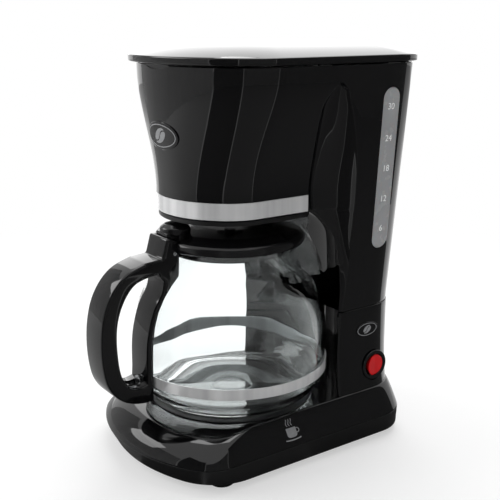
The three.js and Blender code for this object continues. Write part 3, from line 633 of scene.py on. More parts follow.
# ---------------------------------------------------------------- housing
def slot_outline(radius):
    """the gauge window's (y, z) outline: a leaning slot with round ends"""
    lean = math.atan2(GAUGE_LOW[0] - GAUGE_HIGH[0], GAUGE_HIGH[1] - GAUGE_LOW[1])
    return (arc(*GAUGE_HIGH, radius, lean, math.pi + lean, 24)
            + arc(*GAUGE_LOW, radius, math.pi + lean, 2 * math.pi + lean, 24))


rows = [(SEAM_Z, 0.5), (SEAM_Z + 0.25, 0.15), (SEAM_Z + 0.6, 0)]
rows += [(z, 0) for z in levels((109, 185, 2.6), (188.5, 262, 2.6), (263, 283, 1.0), (285, 291.6, 1.6))]
rows += [(CEILING_Z, 0), (CEILING_Z + 0.4, 0), (292.4, 0.1), (292.8, 0.35), (RIM_Z, 0.8)]
housing = skin("housing_shell", [at_height(inset(housing_outline(z), d), z) for z, d in sorted(rows)])
carve(housing, bay(0))
rows = levels((SEAM_Z - 1, RIM_Z + 1, 4), (262, 284, 1.1)) + [CEILING_Z, CEILING_Z + 0.4]
cavity = skin("cavity", [at_height(inset(housing_outline(z), WALL), z) for z in sorted(set(rows))])
carve(cavity, bay(WALL))
band_line = housing_outline(BAND_TOP_Z)
carve(housing, cavity,
      bar("drip_hole", (0, 0, 180), (0, 0, 195), DRIP_HOLE_R),
      belt("band_groove", band_line, -3, 1.1, CEILING_Z - 2, BAND_TOP_Z + GAP, 34.4, 0.01),
      slab("gauge_slot", slot_outline(8.3), 50, 95),
      bar("finger_recess", (0, -75, SCOOP_Z + SCOOP_R),
          (0, bucket_front(RIM_Z) + 1.3, SCOOP_Z + SCOOP_R), SCOOP_R, 200))
for x in (-HINGE_X, HINGE_X):
    left, right = x - LUG_HALF, x + LUG_HALF
    weld(housing, block("lug", (left, REAR_Y - 2, 283), (right, HINGE_Y + 3.1, HINGE_Z)),
         bar("lug_eye", (left, HINGE_Y, HINGE_Z), (right, HINGE_Y, HINGE_Z), 3.1))
    carve(housing, bar("pin_hole", (x - 4, HINGE_Y, HINGE_Z), (x + 4, HINGE_Y, HINGE_Z), HINGE_BORE_R))
carve(housing, block("barrel_room", (-22.6, REAR_Y - 6, HINGE_Z - 3.7), (22.6, REAR_Y + 6, 300)))
settle(housing, polished_abs, "machine", "gloss_abs", "main_housing")

band = belt("bucket_band_strip", band_line, 0.05, 0.8, CEILING_Z + GAP, BAND_TOP_Z, 34, 0.2)
settle(band, brushed_strip_painted_reflections, "machine", "brushed_band", "bucket_band")

trim_line = [p for p in inset(housing_outline(CEILING_Z + 1), 1.4) if p[1] < 40]
trim_rows = [(182.6, 0.5), (182.9, 0.12), (183.4, 0), (185.7, 0), (186.1, 0.4)]
trim = skin("bucket_underside_trim", [at_height(inset(trim_line, d), z) for z, d in trim_rows])
dish_line = [p for p in inset(trim_line, 3) if p[1] < 36]
carve(trim, skin("dish", [at_height(dish_line, z) for z in (180, 184.4)]),
      bar("drip_hole", (0, 0, 170), (0, 0, 200), DRIP_HOLE_R))
settle(trim, satin_pp, "machine", "satin_pp", "bucket_trim")


def side_plate(name, outline, rows):
    """a plate set in the leaning side wall: rows of (depth behind the wall, inset)"""
    return outward(skin(name, [[(column_half(z) - depth, y, z) for y, z in inset(outline, d)]
                               for depth, d in rows]))


window = side_plate("water_gauge_window", slot_outline(8),
                    [(0.3, 0.5), (0.38, 0.2), (0.6, 0), (2.3, 0)])
settle(window, smoked_pp, "machine", "gauge", "gauge_window")


def numerals(name, marks, size_mm):
    """printed numbers on the gauge, one mesh, facing out of the leaning wall"""
    sheets = []
    for text, z in marks:
        letters = bpy.data.curves.new(text, "FONT")
        letters.body = text
        letters.align_x, letters.align_y = "CENTER", "CENTER"
        letters.size = size_mm * MM
        letters.extrude = 0.04 * MM
        letters.resolution_u = 6
        stamp = placed(text, letters)
        mesh = made_mesh(stamp)
        bpy.data.objects.remove(stamp)
        y = mix(GAUGE_LOW[0], GAUGE_HIGH[0], (z - GAUGE_LOW[1]) / (GAUGE_HIGH[1] - GAUGE_LOW[1]))
        lean = COLUMN_GROWTH / COLUMN_RUN
        turn = Matrix(((0, lean, 1, 0), (1, 0, 0, 0), (0, 1, -lean, 0), (0, 0, 0, 1)))
        mesh.transform(Matrix.Translation(spot((column_half(z) - 0.24, y, z))) @ turn)
        sheets.append(mesh)
    work = bmesh.new()
    for mesh in sheets:
        work.from_mesh(mesh)
    joined = bpy.data.meshes.new(name)
    work.to_mesh(joined)
    work.free()
    return outward(placed(name, joined))


marks = [("30", 262), ("24", 238.7), ("18", 216.1), ("12", 192.8), ("6", 169.5)]
settle(numerals("gauge_numerals", marks, 6.6), white_ink, "machine", "gauge")

# ---------------------------------------------------------------- lid
def lid_outline(shrink):
    w = LID_HALF - shrink
    front = bowed_front(w, -67.1 + shrink, 35.4 * w / LID_HALF, max(12, 45.5 - 0.5 * shrink))
    return mirrored(front + rear_half(w, 132 - shrink, max(14, 40 - 0.6 * shrink), front[-1][1]))


def lid_dome(drop, edge, low_z, steps):
    """rings of the lid's rolled edge and dome, or of the hollow that lies drop below the dome"""
    base = LID_Z + LID_EDGE - drop
    if drop:
        rings = [at_height(lid_outline(edge), low_z)]
    else:
        rings = [at_height(lid_outline(s), z) for z, s in (
            (low_z, 0.7), (low_z + 0.25, 0.2), (low_z + 0.7, 0), (low_z + 2.4, 0), (base - 0.7, 0),
            (base - 0.2, 0.15))]
    for shrink in steps:
        rings.append(at_height(lid_outline(shrink + edge),
                               base + LID_RISE * (1 - (1 - clamp(shrink / 56)) ** 2.4)))
    return rings


steps = [0.6, 1.2, 2, 3, 4.5, 6.5, 9, 12, 15, 18.5, 22, 26, 30, 34, 38, 42, 46, 50, 54]
lid = skin("lid_shell", lid_dome(0, 0, LID_Z, steps))
carve(lid, skin("lid_hollow", lid_dome(2.4, 3, LID_Z - 1, [0, 3, 8, 14, 22, 32, 44, 56])))
weld(lid, block("barrel_root", (-21, HINGE_Y - 3, HINGE_Z - 0.5), (21, HINGE_Y + 3.4, HINGE_Z + 5)),
     bar("barrel", (-21.8, HINGE_Y, HINGE_Z), (21.8, HINGE_Y, HINGE_Z), 3))
carve(lid, bar("pin_bore", (-30, HINGE_Y, HINGE_Z), (30, HINGE_Y, HINGE_Z), HINGE_BORE_R),
      *[block("lug_room", (x - 3.3, HINGE_Y - 6, 290), (x + 3.3, 140, 305))
        for x in (-HINGE_X, HINGE_X)])
settle(lid, polished_abs, "lid", "gloss_abs", "lid")

# ---------------------------------------------------------------- base
def base_ring(z, distance):
    """plan of the base above its ledge, which rolls over towards the deck"""
    t = clamp((z - LEDGE_Z) / (DECK_Z - LEDGE_Z))
    roll = 1 - math.sqrt(1 - 0.985 * t * t)
    w = 79.4 - 14.6 * (0.75 * t + 0.25 * roll / ROLL_FULL)
    front = bowed_front(w, -97.3 + 29.4 * roll / ROLL_FULL, mix(30.8, 40.1, t), mix(29.9, 32.6, t), 30)
    return inset(mirrored(front + rear_half(w, REAR_Y, 30, front[-1][1])), distance)


def column_ring(z, distance):
    """plan of the column's foot, hollow towards the carafe"""
    outer_half = column_half(z)
    half = outer_half - distance
    edge = (outer_half - 1.4, 58.4)
    sag = BAY_Y - edge[1]
    radius = (edge[0] ** 2 + sag * sag) / (2 * sag)
    start = math.acos((half - 1.4) / (radius + distance))
    curve = arc(0, BAY_Y - radius, radius + distance, math.pi / 2, start, 40)
    tip_y = curve[-1][1]
    corner = bend(curve[-1], (half - 0.1, tip_y + 0.4), (half, tip_y + 3.1), 5)[1:]
    return mirrored(curve + corner + rear_half(half, REAR_Y - distance, 31 - distance, corner[-1][1]))


rows = [(LEDGE_Z + 0.3, 0.45), (LEDGE_Z + 0.5, 0.12), (LEDGE_Z + 0.9, 0)]
rows += [(mix(LEDGE_Z + 1.6, DECK_Z, math.sin(math.pi / 2 * k / 30)), 0) for k in range(31)]
base = skin("base_body", [at_height(base_ring(z, d), z) for z, d in rows])
column_rows = [(z, 0) for z in levels((22, 105.6, 2.6))] + [(106.2, 0.12), (SEAM_Z - GAP, 0.5)]
weld(base, skin("column_foot", [at_height(column_ring(z, d), z) for z, d in column_rows]))
hollow = skin("base_hollow", [at_height(base_ring(at, wall), z) for z, at, wall in (
    (10, LEDGE_Z, WALL), (24, 24, WALL), (28.5, 28.5, WALL), (32, 32, WALL),
    (DECK_Z - WALL, DECK_Z, 1.5))])
weld(hollow, skin("column_hollow", [at_height(column_ring(min(z, SEAM_Z), WALL), z)
                                    for z in (20, 34, 44, 52, 62, 76, 92, SEAM_Z + 2)]))
sx, sy, sz = SWITCH
carve(base, hollow,
      bar("plate_hole", (0, 0, 30), (0, 0, 45), 62.3, 128),
      bar("switch_hole", (sx - 6, sy, sz), (sx + 6, sy, sz), 10.6),
      bar("bezel_seat", (sx + 0.05, sy, sz), (sx + 9, sy, sz), 12.6, 64),
      bar("cord_hole", (-30, REAR_Y - 10, 28), (-30, REAR_Y + 10, 28), 6.3))
settle(base, polished_abs, "machine", "gloss_abs", "base_shell")


def skirt_ring(z, distance):
    """plan of the bottom cover's wall"""
    t = clamp((z - SKIRT_Z) / (LEDGE_Z - SKIRT_Z))
    w = mix(78.2, 79.2, t)
    front = bowed_front(w, mix(-89.2, -97.1, t), mix(28, 30.8, t), mix(44, 29.9, t), 30)
    return inset(mirrored(front + rear_half(w, REAR_Y - 0.2, 30, front[-1][1])), distance)


rows = [(SKIRT_Z, 1.4), (SKIRT_Z + 0.3, 0.6), (SKIRT_Z + 0.9, 0.15), (SKIRT_Z + 1.8, 0)]
rows += [(z, 0) for z in levels((8, 18, 1.6))] + [(18.6, 0.08), (LEDGE_Z, 0.4)]
cover = skin("bottom_tray", [at_height(skirt_ring(z, d), z) for z, d in rows])
carve(cover, skin("tray_hollow", [at_height(skirt_ring(z, WALL), z)
                                  for z in (SKIRT_Z + WALL, 13, LEDGE_Z + 2)]),
      *[bar("screw_hole", (x, y, 0), (x, y, 10), 2.4, 24) for x, y in SCREWS],
      *[slab("vent", eased([(-30, 0), (20, 0), (20, 10), (-30, 10)], 0.01), 8 * k - 2, 8 * k + 2)
        for k in range(-3, 4)])
settle(cover, satin_pp, "machine", "satin_pp", "bottom_cover")

# ---------------------------------------------------------------- warming plate and its ring
plate_rim = eased([(56, 38.2), (56, 33), (57.5, 33), (58, 38.6), (57, 39.7)], 0.5)
plate_top = [(r, 39.7 - (0.15 if 30 < r < 31 else 0))
             for r in (50, 44, 38, 31.2, 30.8, 30.2, 29.8, 20, 10, 0)]
plate = turned("warming_plate_disc", [(0, 38.2)] + plate_rim + plate_top, 160)
settle(plate, sprayed_coating, "machine", "plate_coating", "warming_plate")
seal = turned("warming_plate_seal", eased([
    (58.4, 35), (61.9, 35), (61.9, 38.7), (64, 38.7), (63.6, 39.3), (58.6, 39.3)], 0.25), 160)
settle(seal, black_silicone, "machine", "silicone", "plate_seal")

# ---------------------------------------------------------------- carafe
outer = [(0, 42.6), (12.6, 42.55), (14, 42.1), (16, 42.1), (17.4, 42.5), (44, 42.2), (52, 40.5), (57, 40.4),
         (62, 42.4), (68, 48), (72, 55.5), (74, 61), (74, 70), (74.4, 78), (74.4, 88), (73.8, 98),
         (72.2, 108), (69, 118.5), (63.4, 129), (57, 137), (51.2, 143), (49, 148), (49.4, 153), (51, 159.5)]
inner = [(48.8, 159.7), (47, 153), (46.7, 147.5), (49.6, 141.2), (61.6, 127.8), (67, 117.4), (71.5, 98),
         (72, 82), (71.6, 60), (66.4, 49.6), (61, 44.8), (50, 43.9), (0, 44.8)]
lip = [(50.7, 160.1), (49.9, 160.3), (49.2, 160.15)]
profile = curve_through(outer, 5) + lip + curve_through(inner, 6)
glass = turned("carafe_body_glass", [(max(0, r), z) for r, z in profile], 192)
# the lip is drawn out into a spout on the side away from the handle
for vertex in glass.data.vertices:
    x, y, z = (vertex.co - AXIS) / MM
    facing = y / max(1, math.hypot(x, y))
    vertex.co.y += 6 * MM * smooth((facing - 0.85) / 0.15) * smooth((z - 147) / 12)
settle(glass, blown_glass, "carafe", "carafe_glass", "carafe_glass", angle=60)
BAND_HIGH = BAND_LOW + BAND_TALL
hoop = turned("carafe_steel_hoop", eased([
    (74.42, BAND_LOW), (75.4, BAND_LOW), (75.4, BAND_HIGH), (74.42, BAND_HIGH)], 0.3), 192)
settle(hoop, brushed_strip_painted_reflections, "carafe", "brushed_band", "carafe_band")

handle_outer = curve_through([
    (-80, 157), (-94, 152), (-104, 143.5), (-111.5, 131), (-115.5, 116), (-116.8, 100), (-115.8, 84),
    (-112.5, 70.5), (-105, 60), (-95, 54), (-84, 51.6), (-75.9, 51.4)], 5)
handle_outer += [
    (-75.9, 78), (-75.5, 90), (-74.9, 98), (-73.3, 108), (-70.2, 118.5), (-64.6, 129), (-58.4, 137),
    (-52.6, 143), (-52, 154.5), (-52, 163.5), (-53.4, 169.5), (-57, 172), (-62.5, 172), (-66.5, 158)]
handle_hole = curve_through([
    (-70, 147), (-80, 145.5), (-89, 142), (-96, 134), (-101, 123.5), (-103.6, 112), (-104, 97),
    (-102, 79), (-97, 69), (-89, 65), (-81.5, 66)], 5)
handle_hole += curve_through([
    (-81, 74), (-80.8, 88), (-79.8, 99), (-77.4, 110), (-73.6, 121), (-67, 132), (-65, 141)], 4)
handle = rounded_slab("carafe_grip", eased(handle_outer, 1.6), 13, 2.0, [handle_hole])
carve(handle, block("lug_slot", (-8.2, SLOT_Y, 152), (8.2, -40, 180)),
      bar("pin_bore", (-20, PIN_Y, PIN_Z), (20, PIN_Y, PIN_Z), PIN_BORE_R),
      bar("screw_bore", (0, -90, SCREW_Z), (0, -70, SCREW_Z), 2.6),
      bar("head_bore", (0, -96, SCREW_Z), (0, -81.2, SCREW_Z), 4.4))
settle(handle, polished_abs, "carafe", "gloss_abs", "carafe_handle", angle=38)

lug_outline = eased([
    (-44, 160.4), (-51.8, 160.4), (-52.6, 157.4), (-58, 157.2), (-59.4, 161), (-59.6, 174.5),
    (-46, 176), (-42, 173), (-42, 170)], 0.8, True, 4)
pot_lid = turned("carafe_lid_dome", eased([
    (8, 170.2), (44, 166), (43.4, 154), (45.4, 154), (45.8, 160.4), (55.6, 160.4), (57, 162),
    (57, 165.8), (55, 168), (49, 169.6), (44, 171.4), (24, 173.4), (10, 173.6), (8, 172.6)], 1.2), 160)
carve(pot_lid, block("lever_room", (-13.5, -80, 150), (13.5, -51.6, 190)))
pad_side = eased([(10.9, 172.7), (11.25, 173), (11.5, 176.3), (10.9, 177.5), (8, 179.7), (4, 180.9)],
                 0.7, False, 5)
pad = turned("thumb_pad", [(0, 172.7)] + pad_side + [(0, 181.2)], 96, (0, PAD_Y))
root = carve(bar("pad_root", (0, PAD_Y, 166), (0, PAD_Y, 173), 11, 96),
             block("handle_room", (-20, -80, 160), (20, -51.2, 180)))
weld(pot_lid, rounded_slab("lug", lug_outline, 7.7, 0.5), pad, root)
carve(pot_lid, bar("pin_bore", (-20, PIN_Y, PIN_Z), (20, PIN_Y, PIN_Z), PIN_BORE_R))
settle(pot_lid, lid_pp, "carafe_lid", "gloss_abs", "carafe_lid")

# ---------------------------------------------------------------- brew basket, filter, drip stop
basket_wall = eased([(36, 194), (43.4, 200), (54.2, 270), (56, 270), (56, 274), (52.4, 274),
                     (41.8, 201.4), (35.4, 196)], 0.8)
basket = turned("brew_basket", [(0, 194)] + basket_wall + [(0, 196)], 128)
weld(basket, turned("valve_seat", [(4.4, 190.5), (12, 190.5), (12, 195), (4.4, 195)], 64),
     turned("seat_lip", [(5, 195), (8, 195), (8, 196.1), (5, 196.1)], 64))
carve(basket, bar("outlet", (0, 0, 180), (0, 0, 200), 5.4))
settle(basket, satin_pp, "basket", "satin_pp", "filter_basket")
settle(turned("filter_ring", eased([(47.6, 262), (50, 262), (50.4, 266), (47.6, 266)], 0.5), 128),
       satin_pp, "basket", "satin_pp", "permanent_filter_frame")
valve_side = eased([(4, 177.6), (4.6, 179), (4.6, 189.4), (4, 190), (4, 197.6), (8.4, 197.6),
                    (8.4, 199.4), (2.5, 199.4), (2.5, 203.2)], 0.3)
valve = turned("drip_valve", [(0, 177.6)] + valve_side + [(0, 203.2)], 48)
settle(valve, satin_pp, "drip_stop", "satin_pp", "drip_stop_valve")
settle(turned("drip_seal", eased([(5.7, 196.4), (9, 196.4), (9, 197.3), (5.7, 197.3)], 0.2), 48),
       milky_silicone, "drip_stop", "silicone", "drip_stop_seal")


# ---------------------------------------------------------------- pieces made by rule
def node_tree(name, sizes):
    """a geometry tree with its named size inputs and one geometry output"""
    tree = bpy.data.node_groups.new(name, "GeometryNodeTree")
    tree.interface.new_socket("Geometry", in_out="INPUT", socket_type="NodeSocketGeometry")
    for label, kind in sizes.items():
        tree.interface.new_socket(label, in_out="INPUT", socket_type=kind)
    tree.interface.new_socket("Geometry", in_out="OUTPUT", socket_type="NodeSocketGeometry")
    return tree, add(tree, "NodeGroupInput").outputs


def close_tree(tree, geometry, material):
    """ends a tree in real geometry with its material"""
    real = add(tree, "GeometryNodeRealizeInstances", {"Geometry": geometry})
    dressed = add(tree, "GeometryNodeSetMaterial", {"Geometry": real.outputs[0], "Material": material})
    add(tree, "NodeGroupOutput", {"Geometry": dressed.outputs[0]})


def ruled(obj, tree, sizes):
    """turns an object into the plain mesh that a tree makes of it"""
    step = obj.modifiers.new("rule", "NODES")
    step.node_group = tree
    for item in tree.interface.items_tree:
        if item.in_out == "INPUT" and item.name in sizes:
            step[item.identifier] = sizes[item.name]
    return settled_mesh(obj)


FLOAT, THING = "NodeSocketFloat", "NodeSocketObject"
copy_tree, sizes = node_tree("copies_on_points", {"Pattern": THING})
source = add(copy_tree, "GeometryNodeObjectInfo", {"Object": sizes["Pattern"]})
instances = add(copy_tree, "GeometryNodeInstanceOnPoints", {
    "Points": add(copy_tree, "GeometryNodeMeshToPoints", {"Mesh": sizes["Geometry"]}).outputs[0],
    "Instance": source.outputs["Geometry"]})
close_tree(copy_tree, instances.outputs[0], moulded_rubber)


def copies(name, pattern, places):
    """copies of a pattern, which was drawn about the carafe's axis, as one mesh"""
    pattern.data.transform(Matrix.Translation(-AXIS))
    obj = ruled(body_of(name, [(x, y, 0) for x, y in places], []), copy_tree, {"Pattern": pattern})
    bpy.data.objects.remove(pattern)
    return obj


foot_side = [(0, 0.5), (4, 0.5), (5, 0)] + eased([(8.6, 0), (9.2, 0.5), (9.6, 3.7), (9.4, 4.2)], 0.3, False)
feet = copies("rubber_feet", turned("foot_pattern", foot_side + [(0, 4.2)], 48), FEET)
settle(feet, moulded_rubber, "machine", "rubber", "foot_front_left", "foot_front_right",
       "foot_rear_left", "foot_rear_right")
head = turned("screw_pattern", [(0, 2.2)] + eased([(3.1, 2.2), (3.6, 2.8), (3.6, 4.3), (1.4, 4.3)], 0.25)
              + [(1.4, 20), (0, 20)], 32)
carve(head, block("drive", (-2.6, -0.5, 2), (2.6, 0.5, 3.2)),
      block("drive", (-0.5, -2.6, 2), (0.5, 2.6, 3.2)))
settle(copies("cover_screws", head, SCREWS), bright_steel, "machine", "steel",
       *[f"cover_screw_{i}" for i in range(1, 5)])

tree, sizes = node_tree("coil_spring", {
    "Turns": FLOAT, "Radius": FLOAT, "Height": FLOAT, "Wire Radius": FLOAT})
coil = add(tree, "GeometryNodeCurveSpiral", {
    "Resolution": 32, "Rotations": sizes["Turns"], "Start Radius": sizes["Radius"],
    "End Radius": sizes["Radius"], "Height": sizes["Height"]})
section = add(tree, "GeometryNodeCurvePrimitiveCircle", {"Resolution": 10, "Radius": sizes["Wire Radius"]})
wire = add(tree, "GeometryNodeCurveToMesh", {
    "Curve": coil.outputs[0], "Profile Curve": section.outputs[0], "Fill Caps": True})
close_tree(tree, wire.outputs[0], bright_steel)
spring = ruled(body_of("drip_spring", [(0, 0, 0)], []), tree, {
    "Turns": 3.0, "Radius": 4.4 * MM, "Height": 3 * MM, "Wire Radius": 0.4 * MM})
spring.data.transform(Matrix.Translation(spot((0, 0, 200.1))))
settle(outward(spring), bright_steel, "drip_stop", "steel", "drip_stop_spring")

# woven cloth of the permanent filter, its wires drawn 2.4 mm apart where the real
# ones are 0.3 mm apart, so that the weave shows
tree, sizes = node_tree("wire_cloth", {"Wire Radius": FLOAT})
section = add(tree, "GeometryNodeCurvePrimitiveCircle", {"Resolution": 4, "Radius": sizes["Wire Radius"]})
wires = add(tree, "GeometryNodeCurveToMesh", {
    "Curve": add(tree, "GeometryNodeMeshToCurve", {"Mesh": sizes["Geometry"]}).outputs[0],
    "Profile Curve": section.outputs[0]})
close_tree(tree, wires.outputs[0], gold_wire)
cone = [(r, 208.4) for r in spread(2, 31.6, 12)]
cone += [(mix(31.8, 46.8, t), mix(208.5, 261.8, t)) for t in spread(0.04, 1, 22)]
cloth = body_of("filter_cloth", [(x, y, z) for r, z in cone for x, y in circle(r, CLOTH_SIDES)],
                ring_faces(CLOTH_SIDES, len(cone), False))
settle(ruled(cloth, tree, {"Wire Radius": 0.28 * MM}), gold_wire, "basket", "filter_mesh",
       "permanent_filter_mesh")

# ---------------------------------------------------------------- small pieces, from the CAD solids
for node, material, slot, width in (
        ("riser_socket", satin_pp, "satin_pp", 0.3), ("shower_arm", satin_pp, "satin_pp", 0.4),
        ("water_tank", natural_pp, "tank_pp", 0), ("check_valve", milky_silicone, "silicone", 0.3),
        ("inlet_hose", milky_silicone, "silicone", 0), ("riser_hose", milky_silicone, "silicone", 0),
        ("heating_tube", drawn_aluminium, "aluminium", 0), ("heating_element", bright_steel, "steel", 0),
        ("heater_bracket", bright_steel, "steel", 0.2), ("bracket_screw", bright_steel, "steel", 0.2),
        ("thermostat", turned_brass, "brass", 0.3), ("thermal_fuse", natural_pp, "tank_pp", 0.3),
        ("terminal_block", natural_pp, "tank_pp", 0.4), ("hose_clamp_inlet", bright_steel, "steel", 0.2),
        ("hose_clamp_riser", bright_steel, "steel", 0.2), ("switch_body", satin_pp, "satin_pp", 0.3),
        ("cord_grommet", moulded_rubber, "rubber", 0.4), ("lid_hinge_pin_left", bright_steel, "steel", 0.2),
        ("lid_hinge_pin_right", bright_steel, "steel", 0.2), ("carafe_lid_pin", bright_steel, "steel", 0.3),
        ("handle_screw", bright_steel, "steel", 0.2)):
    refined(node, material, slot, width)

# ---------------------------------------------------------------- switch
bezel = turned("bezel_pattern", eased([
    (8.9, -5), (10.2, -5), (10.2, 0.35), (12.2, 0.35), (12.2, 0.9), (11.7, 1.4), (9.6, 1.4), (8.9, 0.7)],
    0.3), 96)
face_out = Matrix(((0, 0, 1, 0), (0, 1, 0, 0), (-1, 0, 0, 0), (0, 0, 0, 1)))
bezel.data.transform(Matrix.Translation(spot(SWITCH)) @ face_out @ Matrix.Translation(-AXIS))
bezel.name = "switch_surround"
settle(bezel, lid_pp, "machine", "satin_pp", "switch_bezel")


def rocker_height(u, v):
    """how far the rocker's dished face stands out: tilted halves that meet in the middle"""
    return 1.2 + 1.3 * abs(u) / 8.4 - 0.5 * smooth((math.hypot(u, v) - 7.4) / 1.1)


round_button = spread(0, 2 * math.pi, BUTTON_SIDES)[:-1]
rocker_radii = [1.2, 2.4, 3.6, 4.8, 5.8, 6.6, 7.2, 7.7, 8.1, 8.4]
rocker_points = [(1.2, 0, 0)]
for r in rocker_radii:
    rocker_points += [(rocker_height(r * math.cos(a), r * math.sin(a)), r * math.cos(a), r * math.sin(a))
                      for a in round_button]
rocker_points += [(-3.4, 6 * math.cos(a), 6 * math.sin(a)) for a in round_button]
rocker = body_of("rocker_button", rocker_points, fan_faces(BUTTON_SIDES, len(rocker_radii) + 1))
tilt = Matrix.Rotation(math.radians(7), 4, "Z")
rocker.data.transform(Matrix.Translation(spot(SWITCH)) @ tilt @ Matrix.Translation(-AXIS))
settle(outward(rocker), red_polycarbonate, "rocker", "rocker_red", "switch_rocker", angle=20)


# ---------------------------------------------------------------- badges and printed marks
def strip(lower, upper, start, end, count, thick):
    """a flat mark between two curves v(u), as points (u, v, height) and faces"""
    points = []
    for u in spread(start, end, count):
        points += [(u, lower(u), 0), (u, upper(u), 0), (u, upper(u), thick), (u, lower(u), thick)]
    return points, ring_faces(4, count + 1)


def oval_ring(width, height, line, thick, count=72):
    points, faces = [], []
    for a in spread(0, 2 * math.pi, count)[:-1]:
        c, s = math.cos(a), math.sin(a)
        for w, h in ((width, height), (width - 2 * line, height - 2 * line)):
            points += [(w / 2 * c, h / 2 * s, 0), (w / 2 * c, h / 2 * s, thick)]
    for k in range(count):
        a, b = 4 * k, 4 * ((k + 1) % count)
        faces += [(a + p, b + p, b + q, a + q) for p, q in ((0, 1), (1, 3), (3, 2), (2, 0))]
    return points, faces


def oval_plate(width, height, thick, count=72):
    points = [(0, 0, thick)]
    shares = [(0.2, thick), (0.4, thick), (0.6, thick), (0.8, thick), (0.93, thick), (0.975, thick * 0.9),
              (1.0, thick * 0.55), (1.0, 0.0)]
    for share, lift in shares:
        points += [(width / 2 * share * math.cos(a), height / 2 * share * math.sin(a), lift)
                   for a in spread(0, 2 * math.pi, count)[:-1]]
    return points, fan_faces(count, len(shares))


def turned_art(art, angle, du=0, dv=0):
    c, s = math.cos(angle), math.sin(angle)
    points, faces = art
    return [(u * c - v * s + du, u * s + v * c + dv, h) for u, v, h in points], faces


def merged_art(*arts):
    points, faces = [], []
    for art_points, art_faces in arts:
        shift = len(points)
        points += art_points
        faces += [tuple(shift + i for i in face) for face in art_faces]
    return points, faces


def laid_on(name, art, target, centre, right, up, lift):
    """flat art pressed onto a surface, seen along the way from outside"""
    right, up = Vector(right).normalized(), Vector(up).normalized()
    out = right.cross(up)
    verts = []
    for u, v, h in art[0]:
        start = spot(Vector(centre) + u * right + v * up + 30 * out)
        hit, where = target.ray_cast(start, -out)[:2]
        if not hit:
            raise RuntimeError(f"{name} misses its surface at {u:.1f}, {v:.1f}")
        verts.append(where + (lift + h) * MM * out)
    mesh = bpy.data.meshes.new(name)
    mesh.from_pydata(verts, [], art[1])
    return outward(placed(name, mesh))


def bean(length, width, thick):
    """a coffee bean: two halves either side of an S-shaped crease"""
    def edge(u):
        return width / 2 * math.sqrt(max(0.0004, 1 - (2 * u / length) ** 2))

    def crease(u):
        return 0.16 * width * math.sin(2 * math.pi * u / length)
    gap = 0.05 * width
    reach = 0.47 * length
    return merged_art(
        strip(lambda u: min(crease(u) + gap, edge(u) - 0.02), edge, -reach, reach, 24, thick),
        strip(lambda u: -edge(u), lambda u: max(crease(u) - gap, 0.02 - edge(u)), -reach, reach, 24, thick))


def badge(side, target, frame_of, plate_size, sink, ring, bean_size, ink):
    """an oval badge with a ring and a coffee bean printed on it"""
    settle(laid_on(side + "_badge_plate", oval_plate(*plate_size), target, *frame_of, sink),
           polished_abs, "machine", "badge", side + "_badge")
    art = merged_art(oval_ring(*ring, ink), turned_art(bean(*bean_size, ink), 0.5))
    settle(laid_on(side + "_badge_print", art, target, *frame_of, sink + plate_size[2]),
           grey_ink, "machine", "badge")


badge("front", housing, ((0, -60, 244), (1, 0, 0), (0, 0, 1)),
      (40, 20, 0.75), 0.3, (36, 16.4, 0.7), (15, 9.5), 0.05)
badge("side", base, ((62.4, 87, 88), (0, 1, 0), (0, 0, 1)),
      (22, 12, 0.6), 0.1, (20, 10, 0.55), (8.5, 5.6), 0.04)

INK = 0.04
cup = merged_art(
    strip(lambda u: -4 + 1.5 * (abs(u) / 4.4) ** 4, lambda u: 3.2, -4.4, 4.4, 16, INK),
    turned_art(oval_ring(4.4, 4, 0.7, INK, 32), 0, 5, 0.4),
    strip(lambda u: -6.3 + 0.6 * (u / 7) ** 2, lambda u: -5.4 + 0.6 * (u / 7) ** 2, -7, 7, 16, INK),
    *[turned_art(strip(lambda u: 0.7 * math.sin(u) - 0.32, lambda u: 0.7 * math.sin(u) + 0.32,
                       0, 5.2, 16, INK), math.pi / 2, du, 4.6) for du in (-2.2, 0, 2.2)])
settle(laid_on("cup_print", cup, base, (73.6, 4.1, 28.3), (0, 1, 0), (-0.57, 0, 0.82), 0.03),
       grey_ink, "machine", "badge")

# ---------------------------------------------------------------- studio
FLOOR_HALF, FLOOR_Z = 3000, -0.2
corners = [(-1, -1), (1, -1), (1, 1), (-1, 1)]
floor = body_of("studio_floor", [(FLOOR_HALF * x, FLOOR_HALF * y, FLOOR_Z) for x, y in corners],
                [(0, 1, 2, 3)])
paper = bpy.data.materials.new("matt_white_paper")
tree = bare_tree(paper)
# Matt studio paper: white, and plain white for the camera further from the object.
matt = add(tree, "ShaderNodeBsdfDiffuse", {"Color": shade("#F2F2F2")})
glow = add(tree, "ShaderNodeEmission", {"Color": shade("#FFFFFF"), "Strength": 1.0})
away = add(tree, "ShaderNodeVectorMath", {0: add(tree, "ShaderNodeTexCoord").outputs["Object"]},
           operation="LENGTH")
fade = add(tree, "ShaderNodeMapRange", {
    "Value": away.outputs["Value"], "From Min": 0.18, "From Max": 0.75, "To Min": 0.5, "To Max": 1.0})
seen = add(tree, "ShaderNodeMath", {
    0: fade.outputs[0], 1: add(tree, "ShaderNodeLightPath").outputs["Is Camera Ray"]}, operation="MULTIPLY")
blend = add(tree, "ShaderNodeMixShader", {"Fac": seen.outputs[0], 1: matt.outputs[0], 2: glow.outputs[0]})
add(tree, "ShaderNodeOutputMaterial", {"Surface": blend.outputs[0]})
floor.data.materials.append(paper)

